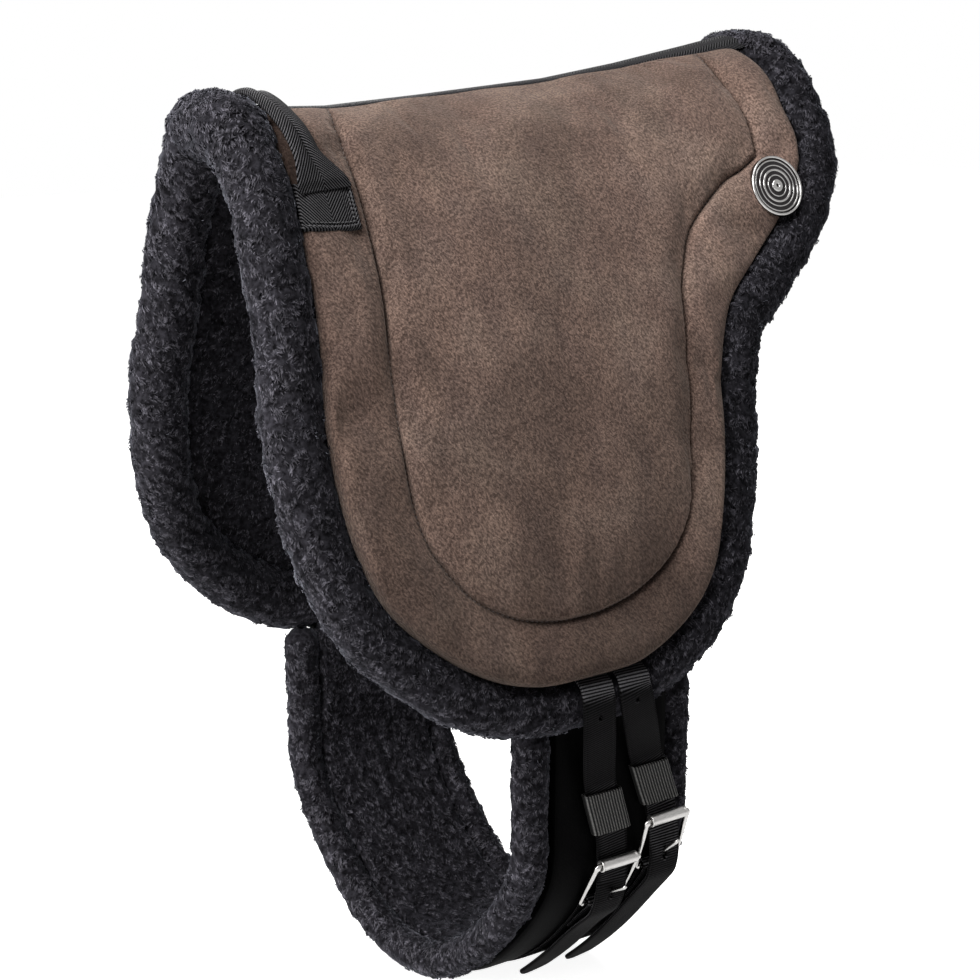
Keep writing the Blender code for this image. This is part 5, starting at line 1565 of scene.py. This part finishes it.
def suedeHeightAt(x, run):
    # the cover's height over the flap at these places, from the grid points close by
    box, reach = 0.06, 0.003
    flat = coverFlat[3:, ::2].reshape(-1, 2)
    height = coverHeight(coverFlat, coverInset, coverFromSeam, columnShare)[3:, ::2].ravel()
    close = (np.abs(flat - (np.mean(x), np.mean(run))) < box).all(1)
    flat, height = flat[close], height[close]
    away = (flat[:, 0] - np.ravel(x)[:, None]) ** 2 + (flat[:, 1] - np.ravel(run)[:, None]) ** 2
    weight = np.exp(-away / reach ** 2) + 1e-9
    return ((weight * height).sum(1) / weight.sum(1)).reshape(np.shape(x))


def makeTab(side, word):
    across = np.linspace(-0.5, 0.5, 61)
    down = np.linspace(0, 1, 45)
    run, x = np.meshgrid(tab["top"] + tab["length"] * down,
                         handle["endPlace"] + tab["width"] * across, indexing="ij")
    rear = x[0, -1]
    # its front side keeps to the suede's edge
    front = np.interp(run[:, 0], edge[:60, 1], edge[:60, 0]) - tab["frontInset"]
    x = rear - (rear - x) * np.minimum(1, (rear - front) / tab["width"])[:, None]
    fromLow = tab["top"] + tab["length"] - run
    hem = np.minimum(rear - x, fromLow)
    fromEdge = np.minimum(np.minimum(hem, x - x[:, :1]), run - tab["top"])
    run = run + tab["bow"] * (1 - (2 * across) ** 2)[None] * down[:, None]
    dip = smoothstep(1 - (x - x[:, :1]) / tab["dipReach"])
    bed = suedeHeightAt(x, run) + pad["gap"] - tab["dip"] * dip
    thick = pad["webbingThick"] * np.sqrt(np.clip(fromEdge / tab["edgeRound"], 0, 1)) \
        + sum(high * np.exp(-((hem - place) / wide) ** 2) for place, high, wide in tab["hem"])
    upper, _ = onFlap(x, run, bed + thick, side)
    floor, _ = onFlap(x, run, bed - tab["floor"], side)
    uv = np.vstack([np.stack([x - handle["endPlace"], run], -1).reshape(-1, 2)] * 2)
    onPad(slab(word + "StrapTab", upper, floor, gridFaces(*x.shape), twillWebbing, uv,
               flip=side == near), "webbing", word + "_strap_tab")
    # two stitch lines along the free edges
    for inset in tab["stitchLines"]:
        left, right = x[-1, 0] + inset, rear - inset
        high, low = tab["top"] + inset, tab["top"] + tab["length"] - inset
        line = evenPoints(np.array([(left, low), (right, low), (right, high)]), 100)
        fromMiddle = 2 * (line[:, 0] - handle["endPlace"]) / tab["width"]
        line[:, 1] += tab["bow"] * (1 - np.clip(fromMiddle, -1, 1) ** 2)
        lift = suedeHeightAt(line[:, 0], line[:, 1]) + pad["gap"] + pad["webbingThick"] + 0.0001
        points, normals = onFlap(line[:, 0], line[:, 1], lift, side)
        points, faces = stitchRow(points, normals, *tab["stitch"])
        onPad(addPiece(word + "TabStitches" + str(int(inset * 10000)), points, faces, blackThread,
                       flip=side == off), "webbing")


# badges: a steel rim round a dark face with plain raised rings, each a radius and a half width
badge = {
    "radius": 0.0235, "rimWidth": 0.0022, "rimHeight": 0.0036, "face": 0.00216, "dome": 0.0006,
    "inset": 0.0385, "drop": 0.128, "around": 96, "ringAround": 14, "ringSquash": 0.75,
    "rings": [(0.0196, 0.0006), (0.0158, 0.0005), (0.0122, 0.0009), (0.0082, 0.0005),
              (0.0030, 0.0020)],
}


def makeBadge(side, word):
    x = pad["length"] - badge["inset"]
    centre, normal = onFlap(x, badge["drop"], borderTop, side)
    outer, top = badge["radius"], badge["rimHeight"]
    inner = outer - badge["rimWidth"]

    def turned(name, profile, material, closed=True):
        return turnedPiece(word + name, profile, centre, normal, badge["around"], material, closed)

    def domeHeight(radius):
        return badge["face"] + badge["dome"] * (1 - (radius / inner) ** 2)

    rim = turned("BadgeRim", [
        (inner, -0.001), (outer - 0.0004, -0.001), (outer, 0.0004), (outer, top * 0.55),
        (outer - 0.0003, top * 0.82), (outer - 0.0009, top), (outer - 0.0014, top),
        (inner + 0.0002, top * 0.88), (inner, top * 0.72)], polishedSteel)
    dome = [(radius, domeHeight(radius)) for radius in np.linspace(inner - 0.0003, 0.0004, 40)]
    plate = turned("BadgeFace", [(inner - 0.0003, -0.0008), *dome, (0.00001, domeHeight(0))],
                   enamel, closed=False)
    for k, (radius, half) in enumerate(badge["rings"]):
        turn = fullTurn(badge["ringAround"])
        section = np.column_stack([radius + half * np.cos(turn), domeHeight(radius)
                                   + half * badge["ringSquash"] * np.sin(turn)])
        onPad(turned("BadgeRing" + str(k), section, polishedSteel), "steel")
    onPad(rim, "steel", word + "_badge_rim")
    onPad(plate, "enamel", word + "_badge_face")


print("sewing the girth")
makeGirthBand()
for rear in (0, 1):
    makeGirthStrap(rear)
print("fitting billets, keepers and buckles")
for line in strapLines:
    makeBillet(line)
    makeKeeper(line)
    makeBuckle(line)
print("adding the grab strap, tabs and badges")
makeGrabStrap()
for side, word in sides:
    makeTab(side, word)
    makeBadge(side, word)


# floor, light and camera; each lamp has its place, size and power
studio = {
    "floor": -0.6845, "floorReach": 6.0, "floorColour": (0.86, 0.86, 0.86), "floorGlow": 0.92,
    "ambient": 0.07, "camera": (-34.0, 14.5), "distance": 1.46, "target": (0.2217, 0, -0.3014),
    "lens": 70.0, "sensor": 36.0, "lampTarget": (0.2, 0, -0.25),
    "lamps": {"keyLamp": ((-1.1, -0.3, 1.1), 0.8, 50), "topLamp": ((0.1, -0.3, 1.6), 0.8, 16),
              "leftLamp": ((-1.6, 0.1, 0.0), 0.8, 30), "backLamp": ((0.6, 1.6, 0.8), 1.0, 30)},
}


def aimed(name, data, place, target):
    thing = bpy.data.objects.new(name, data)
    thing.location = place
    thing.rotation_euler = (Vector(target) - Vector(place)).to_track_quat("-Z", "Y").to_euler()
    scene.collection.objects.link(thing)
    return thing


def seenDirectly(tray):
    # 1 for what the camera sees, also in metal or glass, and 0 for the light on the object
    rays = tray.nodes.new("ShaderNodeLightPath").outputs
    return tray.calc("MAXIMUM", rays["Is Camera Ray"], tray.calc(
        "MAXIMUM", rays["Is Glossy Ray"], rays["Is Transmission Ray"]))


def makeStudio():
    mesh = bpy.data.meshes.new("paleFloor")
    reach, low = studio["floorReach"], studio["floor"]
    mesh.from_pydata([(-reach, -reach, low), (reach, -reach, low), (reach, reach, low),
                      (-reach, reach, low)], [], [(0, 1, 2, 3)])
    floor = bpy.data.objects.new("paleFloor", mesh)
    scene.collection.objects.link(floor)
    material, tray, shader = newMaterial("palePaper", studio["floorColour"], 0.9, specular=0.1)
    shader.inputs["Emission Color"].default_value = (1, 1, 1, 1)
    tray.feed(shader.inputs["Emission Strength"],
              tray.times(seenDirectly(tray), studio["floorGlow"]))
    mesh.materials.append(material)

    world = bpy.data.worlds.new("paleStudio")
    scene.world = world
    world.use_nodes = True
    tray = Tray(world.node_tree)
    background = tray.nodes["Background"]
    background.inputs["Color"].default_value = (1, 1, 1, 1)
    tray.feed(background.inputs["Strength"],
              tray.spread(seenDirectly(tray), studio["ambient"], 1.0))

    for name, (place, size, power) in studio["lamps"].items():
        lamp = bpy.data.lights.new(name, "AREA")
        lamp.size, lamp.energy = size, power
        aimed(name, lamp, place, studio["lampTarget"])

    turn, rise = (math.radians(angle) for angle in studio["camera"])
    target = Vector(studio["target"])
    away = Vector((math.sin(turn) * math.cos(rise), -math.cos(turn) * math.cos(rise),
                   math.sin(rise)))
    lens = bpy.data.cameras.new("photoCamera")
    lens.lens, lens.sensor_width = studio["lens"], studio["sensor"]
    scene.camera = aimed("photoCamera", lens, target + away * studio["distance"], target)
    scene.view_settings.view_transform = "Standard"


print("lighting the studio")
makeStudio()
